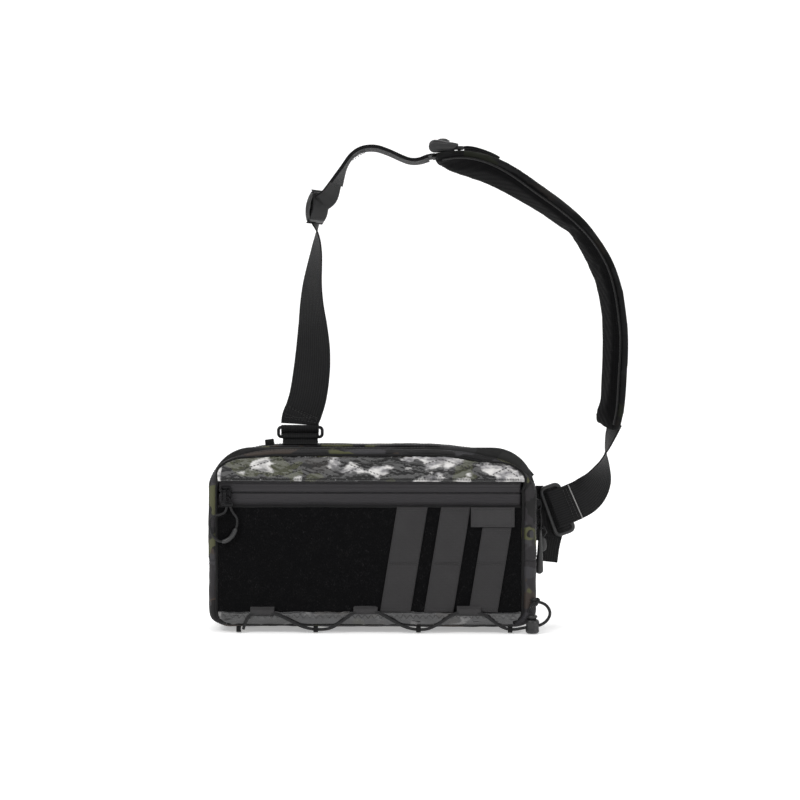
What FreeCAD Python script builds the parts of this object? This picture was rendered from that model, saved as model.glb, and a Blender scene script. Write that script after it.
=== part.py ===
import FreeCAD, Part
import Sketcher
import math
import os

# A camouflage sling bag standing on its bottom: a padded box bag with a zipped mouth all round
# its top, a zipped pocket on the front, an elastic cord laced along the front's lower edge, and
# one carrying loop of webbing with a curved shoulder pad.
# X runs along the bag's width, Y from its front (-) to its back (+), Z up; millimetres.
# The origin is the middle of the flat bottom.

Vector = FreeCAD.Vector
doc = FreeCAD.newDocument("sling_bag")

SIZES = {
    # bag body
    "bag_width": 326.0,
    "bag_height": 186.0,
    "bag_depth": 76.0,
    "top_corner": 44.0,
    "bottom_corner": 22.0,
    "seam_bevel": 10.0,
    "wall": 2.0,
    "bevel_inside": 8.83,
    # zips
    "zip_half_gap": 11.0,
    "tape_half_width": 15.0,
    "tape_thickness": 1.2,
    "slit_half": 0.5,
    "slit_height": 139.5,
    # mouth hinge line
    "hinge_height": 72.0,
    "hinge_gap": 0.25,
    # layers sewn on the front
    "layer": 1.2,
    "binding_width": 2.5,
    "binding_height": 2.0,
    "loop_top": 126.0,
    "loop_bottom": 20.0,
    "laminate_bottom": 152.0,
    # strap
    "strap_plane": 24.0,
    "webbing_width": 38.0,
    "webbing_thickness": 1.6,
    "pad_width": 62.0,
    "pad_foam": 7.0,
    "pad_skin": 2.0,
    # cords
    "cord_diameter": 3.0,
    "pull_cord_diameter": 2.3,
    "sleeve_diameter": 4.6,
}

sheet = doc.addObject("Spreadsheet::Sheet", "sizes")
for row, (alias, value) in enumerate(SIZES.items(), start=1):
    sheet.set("A%d" % row, alias)
    sheet.set("B%d" % row, str(value))
    sheet.setAlias("B%d" % row, alias)
doc.recompute()


def size(alias):
    """A driving dimension, read back from the spreadsheet."""
    return float(sheet.get(alias))


def bound(text):
    """An expression with each alias written as a reference to the sheet."""
    words = []
    for word in text.split():
        words.append("sizes." + word if word in SIZES else word)
    return " ".join(words)


half_depth = size("bag_depth") / 2
half_width = size("bag_width") / 2
front = -half_depth
layer = size("layer")
nodes = []


def keep(part, label):
    """Names an object as one of the bag's sub-parts."""
    part.Label = label
    nodes.append(part)
    return part


def block(name, lengths, corner):
    """A Part::Box whose sizes and corner are expressions in the sheet's aliases."""
    box = doc.addObject("Part::Box", name)
    for prop, text in zip(("Length", "Width", "Height"), lengths):
        box.setExpression(prop, bound(str(text)))
    for axis, text in zip("xyz", corner):
        box.setExpression("Placement.Base." + axis, bound(str(text)))
    return box


def span(name, x_range, y_range, z_range):
    """A box given by its low and high limits along each axis."""
    ranges = (x_range, y_range, z_range)
    lengths = ["( %s ) - ( %s )" % (high, low) for low, high in ranges]
    return block(name, lengths, [low for low, high in ranges])


def combine(kind, name, base, tool):
    """A Part::Cut or Part::Common of two objects."""
    result = doc.addObject("Part::" + kind, name)
    result.Base = base
    result.Tool = tool
    return result


def fuse(name, pieces):
    """A Part::MultiFuse of several objects."""
    result = doc.addObject("Part::MultiFuse", name)
    result.Shapes = pieces
    return result


def solid(name, shape):
    """A Part::Feature holding a shape made with Part's own functions."""
    feature = doc.addObject("Part::Feature", name)
    feature.Shape = shape
    return feature


def rod(name, radius, length, base, direction):
    """A Part::Cylinder along a direction from its base point."""
    cylinder = doc.addObject("Part::Cylinder", name)
    cylinder.Radius = radius
    cylinder.Height = length
    turn = FreeCAD.Rotation(Vector(0, 0, 1), Vector(*direction))
    cylinder.Placement = FreeCAD.Placement(Vector(*base), turn)
    return cylinder


# ---------------------------------------------------------------- bag body

def outline_hull(name, inset, depth, bevel=None):
    """A body: the bag's outline drawn `inset` smaller, padded through its depth and bevelled."""
    body = doc.addObject("PartDesign::Body", name)
    plane = [item for item in body.Origin.OriginFeatures if item.Role == "XZ_Plane"][0]
    sketch = body.newObject("Sketcher::SketchObject", name + "_outline")
    sketch.AttachmentSupport = [(plane, "")]
    sketch.MapMode = "FlatFace"
    amount = size(inset) if inset in SIZES else float(inset)
    wide = half_width - amount
    low, high = amount, size("bag_height") - amount
    bottom = size("bottom_corner") - amount
    top = size("top_corner") - amount
    corners = [(wide, low, bottom, -90), (wide, high, top, 0),
               (-wide, high, top, 90), (-wide, low, bottom, 180)]
    for x, z, radius, start in corners:
        middle = Vector(x - math.copysign(radius, x), z + (radius if z == low else -radius), 0)
        circle = Part.Circle(middle, Vector(0, 0, 1), radius)
        sketch.addGeometry(Part.ArcOfCircle(circle, math.radians(start), math.radians(start + 90)))
    for index in range(4):
        begin = sketch.Geometry[index].EndPoint
        end = sketch.Geometry[(index + 1) % 4].StartPoint
        sketch.addGeometry(Part.LineSegment(begin, end))
    for index in range(4):
        line = 4 + index
        sketch.addConstraint(Sketcher.Constraint("Tangent", index, 2, line, 1))
        sketch.addConstraint(Sketcher.Constraint("Tangent", line, 2, (index + 1) % 4, 1))
        sketch.addConstraint(Sketcher.Constraint("Vertical" if index % 2 == 0 else "Horizontal", line))
    sketch.addConstraint(Sketcher.Constraint("Equal", 0, 3))
    sketch.addConstraint(Sketcher.Constraint("Equal", 1, 2))
    driven = [("Radius", (0,), "bottom_corner - %s" % inset),
              ("Radius", (1,), "top_corner - %s" % inset),
              ("DistanceX", (-1, 1, 4, 1), "bag_width / 2 - %s" % inset),
              ("DistanceX", (6, 1, -1, 1), "bag_width / 2 - %s" % inset),
              ("DistanceY", (-1, 1, 7, 1), "%s" % inset),
              ("DistanceY", (-1, 1, 5, 1), "bag_height - %s" % inset)]
    for kind, where, text in driven:
        value = {"Radius": bottom if where == (0,) else top}.get(kind, wide)
        if kind == "DistanceY":
            value = low if where[2] == 7 else high
        index = sketch.addConstraint(Sketcher.Constraint(kind, *where, value))
        sketch.setExpression("Constraints[%d]" % index, bound(text))
    pad = body.newObject("PartDesign::Pad", name + "_pad")
    pad.Profile = sketch
    if hasattr(pad, "SideType"):
        pad.SideType = "Symmetric"
    else:
        pad.Midplane = True
    pad.setExpression("Length", bound(depth))
    doc.recompute()
    if bevel is not None:
        flat_edges = []
        for number, edge in enumerate(pad.Shape.Edges, start=1):
            box = edge.BoundBox
            if box.YLength < 0.001:
                flat_edges.append("Edge%d" % number)
        chamfer = body.newObject("PartDesign::Chamfer", name + "_bevel")
        chamfer.Base = (pad, flat_edges)
        chamfer.setExpression("Size", bound(bevel))
        body.Tip = chamfer
        doc.recompute()
    return body


outer_hull = outline_hull("outer_hull", "0", "bag_depth", "seam_bevel")
inner_hull = outline_hull("inner_hull", "wall", "bag_depth - 2 * wall", "bevel_inside")
tape_hull = outline_hull("tape_hull", str(size("wall") + size("tape_thickness")), "bag_depth")
face_hull = outline_hull("face_hull", "seam_bevel", "bag_depth + 2 * binding_height")
field_inset = str(size("seam_bevel") + size("binding_width"))
field_hull = outline_hull("field_hull", field_inset, "bag_depth + 2 * binding_height")
shell = combine("Cut", "shell", outer_hull, inner_hull)
tape_ring = combine("Cut", "tape_ring", inner_hull, tape_hull)
binding_ring = combine("Cut", "binding_ring", face_hull, field_hull)

ALL_X = ("- bag_width", "bag_width")
LOWER = ("- 5", "hinge_height - hinge_gap")
UPPER = ("hinge_height + hinge_gap", "bag_height + 5")
REAR_UPPER = ("hinge_height - hinge_gap", "bag_height + 5")
WHOLE = ("- 5", "bag_height + 5")
FRONT_WALL = ("- bag_depth", "- bag_depth / 2 + wall")
BETWEEN = ("- bag_depth / 2 + wall", "bag_depth / 2 - wall")

wall_pieces = [
    ("back_panel", shell, ("bag_depth / 2 - wall", "bag_depth"), WHOLE),
    ("bottom_gusset", shell, BETWEEN, LOWER),
    ("rear_zip_gusset", shell, ("zip_half_gap", "bag_depth / 2 - wall"), REAR_UPPER),
    ("front_zip_gusset", shell, ("- bag_depth / 2 + wall", "- zip_half_gap"), UPPER),
    ("rear_zip_tape", tape_ring, ("slit_half", "tape_half_width"), REAR_UPPER),
    ("front_zip_tape", tape_ring, ("- tape_half_width", "- slit_half"), UPPER),
    ("front_panel_lower", shell, FRONT_WALL, LOWER),
    ("pocket_front", shell, FRONT_WALL, (UPPER[0], "loop_top")),
    ("front_panel_top", shell, FRONT_WALL, ("laminate_bottom", UPPER[1])),
    ("rear_binding", binding_ring, ("bag_depth / 2", "bag_depth"), WHOLE),
    ("front_binding_lower", binding_ring, ("- bag_depth", "- bag_depth / 2"), LOWER),
    ("front_binding_upper", binding_ring, ("- bag_depth", "- bag_depth / 2"), UPPER),
]
for label, base, y_range, z_range in wall_pieces:
    region = span(label + "_region", ALL_X, y_range, z_range)
    keep(combine("Common", label + "_cut", base, region), label)

FIRST_LAYER = ("- bag_depth / 2 - layer", "- bag_depth / 2")
SECOND_LAYER = ("- bag_depth / 2 - 2 * layer", "- bag_depth / 2 - layer")
field_pieces = [
    ("bottom_laminate", ("- 5", "loop_bottom")),
    ("loop_panel_lower", ("loop_bottom", LOWER[1])),
    ("loop_panel_upper", (UPPER[0], "loop_top")),
    ("top_laminate", ("laminate_bottom", UPPER[1])),
]
for label, z_range in field_pieces:
    region = span(label + "_region", ALL_X, FIRST_LAYER, z_range)
    keep(combine("Common", label + "_cut", field_hull, region), label)

# Padding and pockets inside the bag
padding_region = span("padding_region", ("- 150", "150"), ("bag_depth / 2 - wall - 5", "bag_depth / 2 - wall"),
                      ("14", "172"))
padding_hull = outline_hull("padding_hull", "13", "bag_depth")
keep(combine("Common", "padding_cut", padding_hull, padding_region), "back_padding")
keep(span("inner_pocket_sheet", ("- 140", "140"), ("bag_depth / 2 - wall - 6", "bag_depth / 2 - wall - 5"),
          ("14", "118")), "inner_pocket")
backing_region = span("backing_region", ALL_X, ("- bag_depth / 2 + 10", "- bag_depth / 2 + 11"), UPPER)
keep(combine("Common", "backing_cut", inner_hull, backing_region), "pocket_backing")

# Pocket zip: two tapes behind the front, one either side of the slit
TAPE_LAYER = ("- bag_depth / 2 + wall", "- bag_depth / 2 + wall + tape_thickness")
keep(span("tape_upper", ("- 148", "148"), TAPE_LAYER, ("slit_height + slit_half", "slit_height + 17")),
     "pocket_zip_tape_upper")
keep(span("tape_lower", ("- 148", "148"), TAPE_LAYER, ("slit_height - 17", "slit_height - slit_half")),
     "pocket_zip_tape_lower")

# Three leaning strips of webbing: middle of the top edge, top height, and half width
STRIPS = [(40.0, 126.0, 15.2), (83.0, 126.0, 14.6), (127.0, 106.0, 14.4)]
LEAN = 0.162            # sideways run for each millimetre of height
STRIP_TOP = 126.0


def leaning_strip(middle, half, low, high):
    """A parallelogram of webbing on the loop panel between two heights."""
    corners = []
    for x_side, height in ((-half, low), (half, low), (half, high), (-half, high)):
        x = middle + x_side - LEAN * (STRIP_TOP - height)
        corners.append(Vector(x, front - layer, height))
    face = Part.Face(Part.makePolygon(corners + corners[:1]))
    return face.extrude(Vector(0, -layer, 0))


seam_low = size("hinge_height") - size("hinge_gap")
seam_high = size("hinge_height") + size("hinge_gap")
lower_strips = [leaning_strip(middle, half, size("loop_bottom") + 1, seam_low) for middle, top, half in STRIPS]
upper_strips = [leaning_strip(middle, half, seam_high, top) for middle, top, half in STRIPS]
keep(solid("strips_lower", Part.makeCompound(lower_strips)), "slant_webbing_lower")
keep(solid("strips_upper", Part.makeCompound(upper_strips)), "slant_webbing_upper")
keep(span("tab_sheet", ("97.8", "141"), SECOND_LAYER, ("106.2", "126")), "webbing_tab")

# ---------------------------------------------------------------- pocket slider and its pull
slit = size("slit_height")
pull_pin = Vector(0, front - 4.8, slit + 1.5)
slider_left, slider_right = -149.9, -139.9
tape_front = front + size("wall")
tape_back = tape_front + size("tape_thickness")
pocket_slider_parts = [
    span("slider_plate", (slider_left, slider_right), (tape_front - 4.0, tape_front - 0.4), (slit - 6, slit + 6)),
    span("slider_wing", (slider_left, slider_right), (tape_back + 0.3, tape_back + 2.2), (slit - 6, slit + 6)),
    span("slider_post", (slider_left + 2, slider_right - 2), (tape_front - 0.6, tape_back + 0.5),
         (slit - 0.25, slit + 0.25)),
    span("slider_cheek_left", (-149.8, -148.0), (pull_pin.y - 1.4, tape_front - 3.8), (slit - 1, slit + 3.2)),
    span("slider_cheek_right", (-143.4, -141.6), (pull_pin.y - 1.4, tape_front - 3.8), (slit - 1, slit + 3.2)),
    rod("slider_pin", 0.8, 5.0, (-148.2, pull_pin.y, pull_pin.z), (1, 0, 0)),
]
keep(fuse("pocket_slider_fuse", pocket_slider_parts), "pocket_slider")

cord_plane = front - 6.4
tab_bar = fuse("tab_bar", [
    rod("tab_head", 2.0, 3.4, (-147.4, pull_pin.y, pull_pin.z), (1, 0, 0)),
    span("tab_shank", (-147.4, -144.0), (cord_plane - 0.9, cord_plane + 0.9), (128.0, pull_pin.z - 0.4)),
    span("tab_crimp", (-149.0, -137.4), (cord_plane - 1.7, cord_plane + 1.7), (127.0, 130.6)),
])
tab_bore = rod("tab_bore", 1.15, 6.0, (-148.7, pull_pin.y, pull_pin.z), (1, 0, 0))
keep(combine("Cut", "pocket_pull_cut", tab_bar, tab_bore), "pocket_pull_tab")

# ---------------------------------------------------------------- cords


CORD_ROOM = 0.15  # clearance round a cord where it runs through another part


def tube_path(points):
    """Straight runs joined by tangent arcs; returns the wire, its length and the arc radii."""
    edges = []
    radii = []
    begin = points[0]
    for index in range(1, len(points) - 1):
        before, corner, after = points[index - 1], points[index], points[index + 1]
        arriving = (corner - before).normalize()
        leaving = (after - corner).normalize()
        turn = arriving.getAngle(leaving)
        run = min(before.distanceToPoint(corner), corner.distanceToPoint(after))
        reach = 0.45 * run
        radius = reach / math.tan(turn / 2)
        radii.append(radius)
        first = corner - arriving * reach
        last = corner + leaving * reach
        inward = (leaving - arriving).normalize()
        centre_gap = radius / math.cos(turn / 2)
        middle = corner + inward * (centre_gap - radius)
        edges.append(Part.LineSegment(begin, first).toShape())
        edges.append(Part.Arc(first, middle, last).toShape())
        begin = last
    edges.append(Part.LineSegment(begin, points[-1]).toShape())
    wire = Part.Wire(edges)
    return wire, sum(edge.Length for edge in edges), radii


def tube(points, diameter):
    """A solid round tube along the route's runs and arcs."""
    wire, length, radii = tube_path(points)
    start = (points[1] - points[0]).normalize()
    ring = Part.Wire(Part.makeCircle(diameter / 2, points[0], start))
    body = wire.makePipeShell([ring], True, False)
    return body, length, radii


def cord(label, route, diameter):
    """A cord's tube as a sub-part; prints its length, radii and how true its volume is."""
    points = [Vector(*place) for place in route]
    body, length, radii = tube(points, diameter)
    ideal = math.pi * diameter ** 2 / 4 * length
    print("%s: length %.1f mm, smallest radius %.1f mm, volume ratio %.4f"
          % (label, length, min(radii), body.Volume / ideal))
    return keep(solid(label + "_tube", body), label)


# Both ends stop just under the crimp
cord_end = 126.6
PULL_ROUTE = [
    (-143.6, cord_plane, cord_end), (-144.2, cord_plane - 0.2, 121.5), (-149.5, cord_plane, 118.4),
    (-156.5, cord_plane, 117.6), (-161.2, cord_plane, 112.5), (-160.6, cord_plane, 104.5),
    (-157.4, cord_plane, 96.5), (-151.5, cord_plane, 91.4), (-144.4, cord_plane, 91.8),
    (-138.4, cord_plane, 96.6), (-134.9, cord_plane, 103.5), (-132.8, cord_plane, 110.0),
    (-134.0, cord_plane, 116.5), (-138.6, cord_plane - 0.2, 121.6), (-140.2, cord_plane, cord_end),
]
cord("pocket_pull_cord", PULL_ROUTE, size("pull_cord_diameter"))
SLEEVE_ROUTE = [(-147.9, cord_plane, 91.6), (-144.4, cord_plane, 91.8), (-138.4, cord_plane, 96.6),
                (-134.9, cord_plane, 103.5)]
sleeve_points = [Vector(*place) for place in SLEEVE_ROUTE]
sleeve_body = tube(sleeve_points, size("sleeve_diameter"))[0]
pull_points = [Vector(*place) for place in PULL_ROUTE]
pull_passage = tube(pull_points, size("pull_cord_diameter") + 2 * CORD_ROOM)[0]
keep(solid("sleeve_tube", sleeve_body.cut(pull_passage)), "pocket_pull_sleeve")

SHOCK_ROUTE = [
    (-128.0, -40.6, 3.6), (-126.0, -41.4, 11.0), (-121.6, -41.8, 18.8), (-111.0, -41.8, 21.8),
    (-98.0, -41.8, 20.4), (-84.0, -41.9, 14.0), (-71.0, -41.6, 6.8), (-60.0, -40.6, 3.9),
    (-50.0, -40.6, 3.3), (-39.5, -41.4, 5.2), (-29.0, -42.0, 12.4), (-19.0, -41.8, 20.6),
    (-7.5, -41.8, 23.6), (5.5, -41.8, 21.6), (19.0, -42.0, 13.6), (32.0, -41.4, 6.2),
    (44.0, -40.6, 3.5), (56.0, -40.8, 4.0), (68.0, -42.0, 10.6), (81.0, -42.8, 20.2),
    (95.0, -43.0, 23.6), (109.0, -43.0, 20.6), (120.5, -42.4, 12.2), (130.0, -41.0, 5.4),
    (140.0, -40.5, 3.6), (151.0, -40.2, 5.8), (159.0, -40.0, 6.7), (167.0, -40.0, 8.2),
    (174.0, -40.0, 13.0), (177.2, -39.6, 20.5), (173.6, -38.8, 28.0), (166.0, -38.0, 31.6),
    (159.6, -38.6, 30.4), (157.2, -38.4, 25.6), (155.4, -36.6, 21.4),
]
cord_points = [Vector(*place) for place in SHOCK_ROUTE]
cord_passage = tube(cord_points, size("cord_diameter") + 2 * CORD_ROOM)[0]

# Keepers: flat webbing tunnels on the loop panel that the elastic cord runs through
# (each: middle in X, middle height, and the face it is sewn to)
KEEPERS = [(-109.0, 21.2, front - layer), (-6.5, 22.6, front - layer), (96.0, 22.6, front - 2 * layer)]
KEEPER_RISE = 5.2
tunnels = []
for number, (middle, height, base) in enumerate(KEEPERS, start=1):
    cover = span("keeper_%d" % number, (middle - 12, middle + 12), (base - KEEPER_RISE, base),
                 (height - 4.4, height + 4.4))
    hollow = span("keeper_hollow_%d" % number, (middle - 13, middle + 13),
                  (base - KEEPER_RISE + 0.7, base - 0.1), (height - 3.7, height + 3.7))
    tunnels.append(combine("Cut", "keeper_cut_%d" % number, cover, hollow))
doc.recompute()
for number, tunnel in enumerate(tunnels, start=1):
    keep(solid("keeper_body_%d" % number, tunnel.Shape.cut(cord_passage)), "cord_keeper_%d" % number)

# Loops sewn under the front's lower edge
LOOPS = [-132.5, -56.0, 46.0, 137.0]
loop_parts = []
for number, middle in enumerate(LOOPS, start=1):
    cover = span("loop_%d" % number, (middle - 4.5, middle + 4.5), (front - 5.0, front + 3.4), (0.4, 6.6))
    if number == 1:
        loop_parts.append(cover)
        continue
    hollow = span("loop_hollow_%d" % number, (middle - 6, middle + 6), (front - 4.4, front + 1.6), (1.0, 6.0))
    loop_parts.append(combine("Cut", "loop_cut_%d" % number, cover, hollow))
doc.recompute()
loop_bodies = [part.Shape.cut(cord_passage) for part in loop_parts]
keep(solid("bottom_loops", Part.makeCompound(loop_bodies)), "bottom_cord_loops")

cord("shock_cord", SHOCK_ROUTE, size("cord_diameter"))

# Cord lock: a barrel with a sprung plunger that grips the cord
lock_centre = Vector(159.0, -40.0, 0.4)
barrel = rod("barrel", 6.5, 13.6, lock_centre, (0, 0, 1))
barrel_bore = rod("barrel_bore", 4.3, 14.0, lock_centre + Vector(0, 0, 2.6), (0, 0, 1))
barrel_hole = rod("barrel_hole", 2.6, 20.0, (149.0, -40.0, 6.9), (1, 0, 0))
barrel_open = combine("Cut", "barrel_open", barrel, barrel_bore)
keep(combine("Cut", "barrel_cut", barrel_open, barrel_hole), "cord_lock_body")
plunger = rod("plunger", 3.9, 12.2, lock_centre + Vector(0, 0, 5.9), (0, 0, 1))
plunger_slot = span("plunger_slot", (150, 168), (-42.3, -37.7), (5.0, 12.4))
keep(combine("Cut", "plunger_cut", plunger, plunger_slot), "cord_lock_button")
knot = doc.addObject("Part::Sphere", "knot")
knot.Radius = 4.8
knot.Placement.Base = Vector(162.2, -37.6, 31.8)
keep(knot, "cord_knot")

# ---------------------------------------------------------------- mouth sliders and pulls
side = half_width
tape_outer = side - size("wall")
tape_inner = tape_outer - size("tape_thickness")
MOUTH_SLIDERS = {
    # name: (lowest height, middle of the pull in Y, pull's lowest height, end's half sizes, direction)
    "upper": (118.0, -3.2, 55.0, (4.0, 2.4, 12.5)),
    "lower": (100.0, 3.2, 77.0, (5.8, 2.4, 4.5)),
}
for name, (low, lane, foot, end_size) in MOUTH_SLIDERS.items():
    pin_x = side + 3.6
    pin_z = low + 8.0
    parts = [
        span(name + "_plate", (tape_outer + 0.3, side + 1.6), (-6.5, 6.5), (low, low + 12)),
        span(name + "_wing", (tape_inner - 2.2, tape_inner - 0.3), (-6.5, 6.5), (low, low + 12)),
        span(name + "_post", (tape_inner - 0.6, tape_outer + 0.6), (-0.2, 0.2), (low + 2, low + 10)),
        span(name + "_cheek_a", (side + 1.4, pin_x + 1.3), (lane - 2.9, lane - 1.6), (pin_z - 2, pin_z + 2)),
        span(name + "_cheek_b", (side + 1.4, pin_x + 1.3), (lane + 1.6, lane + 2.9), (pin_z - 2, pin_z + 2)),
        rod(name + "_pin", 0.7, 4.2, (pin_x, lane - 2.1, pin_z), (0, 1, 0)),
    ]
    keep(fuse(name + "_slider_fuse", parts), "mouth_slider_" + name)
    end_x, end_y, end_z = end_size
    hang_x = pin_x + 0.4
    top_of_end = foot + 2 * end_z
    pull_parts = [
        rod(name + "_head", 1.9, 2.4, (pin_x, lane - 1.2, pin_z), (0, 1, 0)),
        span(name + "_bar", (hang_x - 0.8, hang_x + 0.8), (lane - 1.2, lane + 1.2), (pin_z - 13, pin_z - 1.0)),
        span(name + "_strand", (hang_x - 0.8, hang_x + 0.8), (lane - 1.0, lane + 1.0),
             (top_of_end - 1, pin_z - 12)),
        span(name + "_end", (hang_x - end_x * 0.45, hang_x + end_x * 0.55), (lane - end_y, lane + end_y),
             (foot, top_of_end)),
    ]
    pull = fuse(name + "_pull_fuse", pull_parts)
    pull_bore = rod(name + "_pull_bore", 1.0, 6.0, (pin_x, lane - 3.0, pin_z), (0, 1, 0))
    keep(combine("Cut", name + "_pull_cut", pull, pull_bore), "mouth_pull_" + name)

# ---------------------------------------------------------------- anchors on the bag
top = size("bag_height")
plane = size("strap_plane")
tab_left, tab_right = -91.5, -56.5
tab_outer = span("anchor_outer", (tab_left, tab_right), (plane - 5.4, plane + 5.4), (top, top + 7.2))
tab_hole = span("anchor_hole", (tab_left - 1, tab_right + 1), (plane - 4.4, plane + 4.4), (top + 1.2, top + 6.2))
tab_foot = span("anchor_foot", (tab_left, tab_right), (plane - 12, plane + 10), (top, top + 1.2))
tab_loop = combine("Cut", "anchor_loop", tab_outer, tab_hole)
keep(fuse("left_anchor_fuse", [tab_loop, tab_foot]), "left_anchor_tab")
keep(span("right_wing", (side, side + 4.0), (plane + 6.6, plane + 9.8), (84, 126)), "right_anchor_tab")
keep(span("side_grip_left", (-side - 2.2, -side), (14, 30), (77, 92)), "side_tab_left")

# ---------------------------------------------------------------- carrying loop
# Stations of the loop: X, Z, and how far the band's face is turned towards the front (degrees)
LEFT_LINE = [(-74.4, 202.6, 90), (-73.8, 208.0, 90), (-70.6, 216.0, 90), (-66.0, 232.0, 86), (-62.5, 256.0, 78),
             (-61.0, 279.0, 66), (-61.3, 302.0, 52), (-62.3, 322.0, 41), (-61.5, 345.0, 31),
             (-57.5, 377.0, 18), (-56.6, 394.0, 6), (-58.2, 405.4, -8)]
UPPER_LINE = [(-50.6, 424.4, -28), (-44.2, 431.0, -26), (-37.5, 444.0, -16), (-29.5, 461.0, -4),
              (-21.5, 472.5, 0), (-11.0, 479.0, 0), (1.5, 480.0, 0), (14.5, 476.0, 0),
              (28.0, 470.0, 0), (37.0, 467.0, 0), (46.0, 467.3, 0), (55.0, 470.0, 0)]
RETURN_LINE = UPPER_LINE[2:-1]
PAD_LINE = [(61.0, 466.0, -1), (74.0, 465.6, -7), (92.0, 462.6, -13), (112.0, 457.0, -16),
            (134.0, 447.5, -14), (161.0, 432.0, -11), (183.0, 418.0, -10), (202.0, 403.0, -10),
            (216.0, 385.0, -12), (229.0, 363.0, -13), (237.5, 338.0, -13), (241.2, 314.0, -13),
            (242.6, 289.0, -14), (241.5, 254.0, -13), (239.0, 222.0, -13), (232.0, 199.0, -18)]
RIGHT_LINE = [(243.2, 205.0, -17), (238.0, 190.0, -10), (233.5, 174.0, 4), (231.0, 161.0, 24),
              (225.0, 144.0, 56), (213.5, 130.5, 82), (198.0, 122.5, 90), (181.0, 116.0, 90)]


def stations(line, y=plane):
    """Place, direction across and direction outwards of the band at each station."""
    places = [Vector(x, y, z) for x, z, turn in line]
    frames = []
    for index, place in enumerate(places):
        before = places[max(index - 1, 0)]
        after = places[min(index + 1, len(places) - 1)]
        along = (after - before).normalize()
        outward = Vector(-along.z, 0, along.x)
        turn = math.radians(line[index][2])
        across = Vector(0, 1, 0) * math.cos(turn) + outward * math.sin(turn)
        normal = outward * math.cos(turn) - Vector(0, 1, 0) * math.sin(turn)
        frames.append((place, across, normal))
    return frames


def band(line, width, thickness, offset=0.0, y=plane):
    """A ruled solid of rectangular section through the stations, moved outwards by an offset."""
    wires = []
    for place, across, normal in stations(line, y):
        centre = place + normal * offset
        half = across * (width / 2)
        thick = normal * (thickness / 2)
        corners = [centre - half - thick, centre + half - thick,
                   centre + half + thick, centre - half + thick]
        wires.append(Part.makePolygon(corners + corners[:1]))
    return Part.makeLoft(wires, True, True)


webbing = size("webbing_width")
ply = size("webbing_thickness")
pad_width = size("pad_width")
foam = size("pad_foam")
skin = size("pad_skin")

# Wire ring that joins the left webbing to its anchor tab
ring_low, ring_high = top + 3.7, top + 13.4
ring_wire = 1.6
ring_left, ring_right = -96.1, -51.9
ring_parts = [
    rod("ring_lower", ring_wire, ring_right - ring_left, (ring_left, plane, ring_low), (1, 0, 0)),
    rod("ring_upper", ring_wire, ring_right - ring_left, (ring_left, plane, ring_high), (1, 0, 0)),
    rod("ring_side_left", ring_wire, ring_high - ring_low, (ring_left, plane, ring_low), (0, 0, 1)),
    rod("ring_side_right", ring_wire, ring_high - ring_low, (ring_right, plane, ring_low), (0, 0, 1)),
]
keep(fuse("ring_fuse", ring_parts), "left_ring")

# Left webbing: folded round the ring's upper bar and sewn back on itself
fold_outer = rod("fold_outer", ring_wire + 0.2 + ply, webbing, (-93.0, plane, ring_high), (1, 0, 0))
fold_inner = rod("fold_inner", ring_wire + 0.2, webbing + 2, (-94.0, plane, ring_high), (1, 0, 0))
fold = combine("Cut", "fold", fold_outer, fold_inner)
doc.recompute()
long_ply = band(LEFT_LINE, webbing, ply)
short_ply = band([(-74.4, 202.6, 90), (-73.8, 208.0, 90), (-71.9, 213.0, 90)], webbing, ply, offset=ply)
bar_room = Part.makeCylinder(ring_wire + CORD_ROOM, webbing + 10, Vector(-98.0, plane, ring_high),
                             Vector(1, 0, 0))
left_webbing = long_ply.fuse([short_ply, fold.Shape]).removeSplitter().cut(bar_room)
keep(solid("left_webbing_solid", left_webbing), "left_webbing")


def buckle_frame(long_side, short_side, thick, bars, centre, across, along):
    """A flat rectangular frame with cross bars, set into the loop's own directions."""
    frame = Part.makeBox(long_side, short_side, thick, Vector(-long_side / 2, -short_side / 2, -thick / 2))
    edges = [edge for edge in frame.Edges if abs(edge.Length - thick) < 0.001]
    frame = frame.makeFillet(min(short_side, long_side) * 0.2, edges)
    for low, high in bars:
        open_width = long_side - 9.0
        window = Part.makeBox(open_width, high - low, thick + 2, Vector(-open_width / 2, low, -thick))
        frame = frame.cut(window)
    normal = across.cross(along)
    matrix = FreeCAD.Matrix(across.x, along.x, normal.x, centre.x, across.y, along.y, normal.y, centre.y,
                            across.z, along.z, normal.z, centre.z, 0, 0, 0, 1)
    return frame, FreeCAD.Placement(matrix)


glide_along = Vector(0.16, 0, 0.987).normalize()
glide_out = Vector(-glide_along.z, 0, glide_along.x)
glide_turn = math.radians(-22)
glide_across = Vector(0, 1, 0) * math.cos(glide_turn) + glide_out * math.sin(glide_turn)
glide_shape, glide_place = buckle_frame(49.0, 30.0, 3.4, [(-11.5, -2.2), (2.2, 11.5)],
                                        Vector(-56.2, plane, 421.0), glide_across, glide_along)
tri_glide = solid("tri_glide_solid", glide_shape)
tri_glide.Placement = glide_place
keep(tri_glide, "tri_glide")

keep(solid("upper_webbing_solid", band(UPPER_LINE, webbing, ply, offset=1.3)), "upper_webbing")
keep(solid("return_webbing_solid", band(RETURN_LINE, webbing, ply, offset=-1.3)), "return_webbing")

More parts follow.
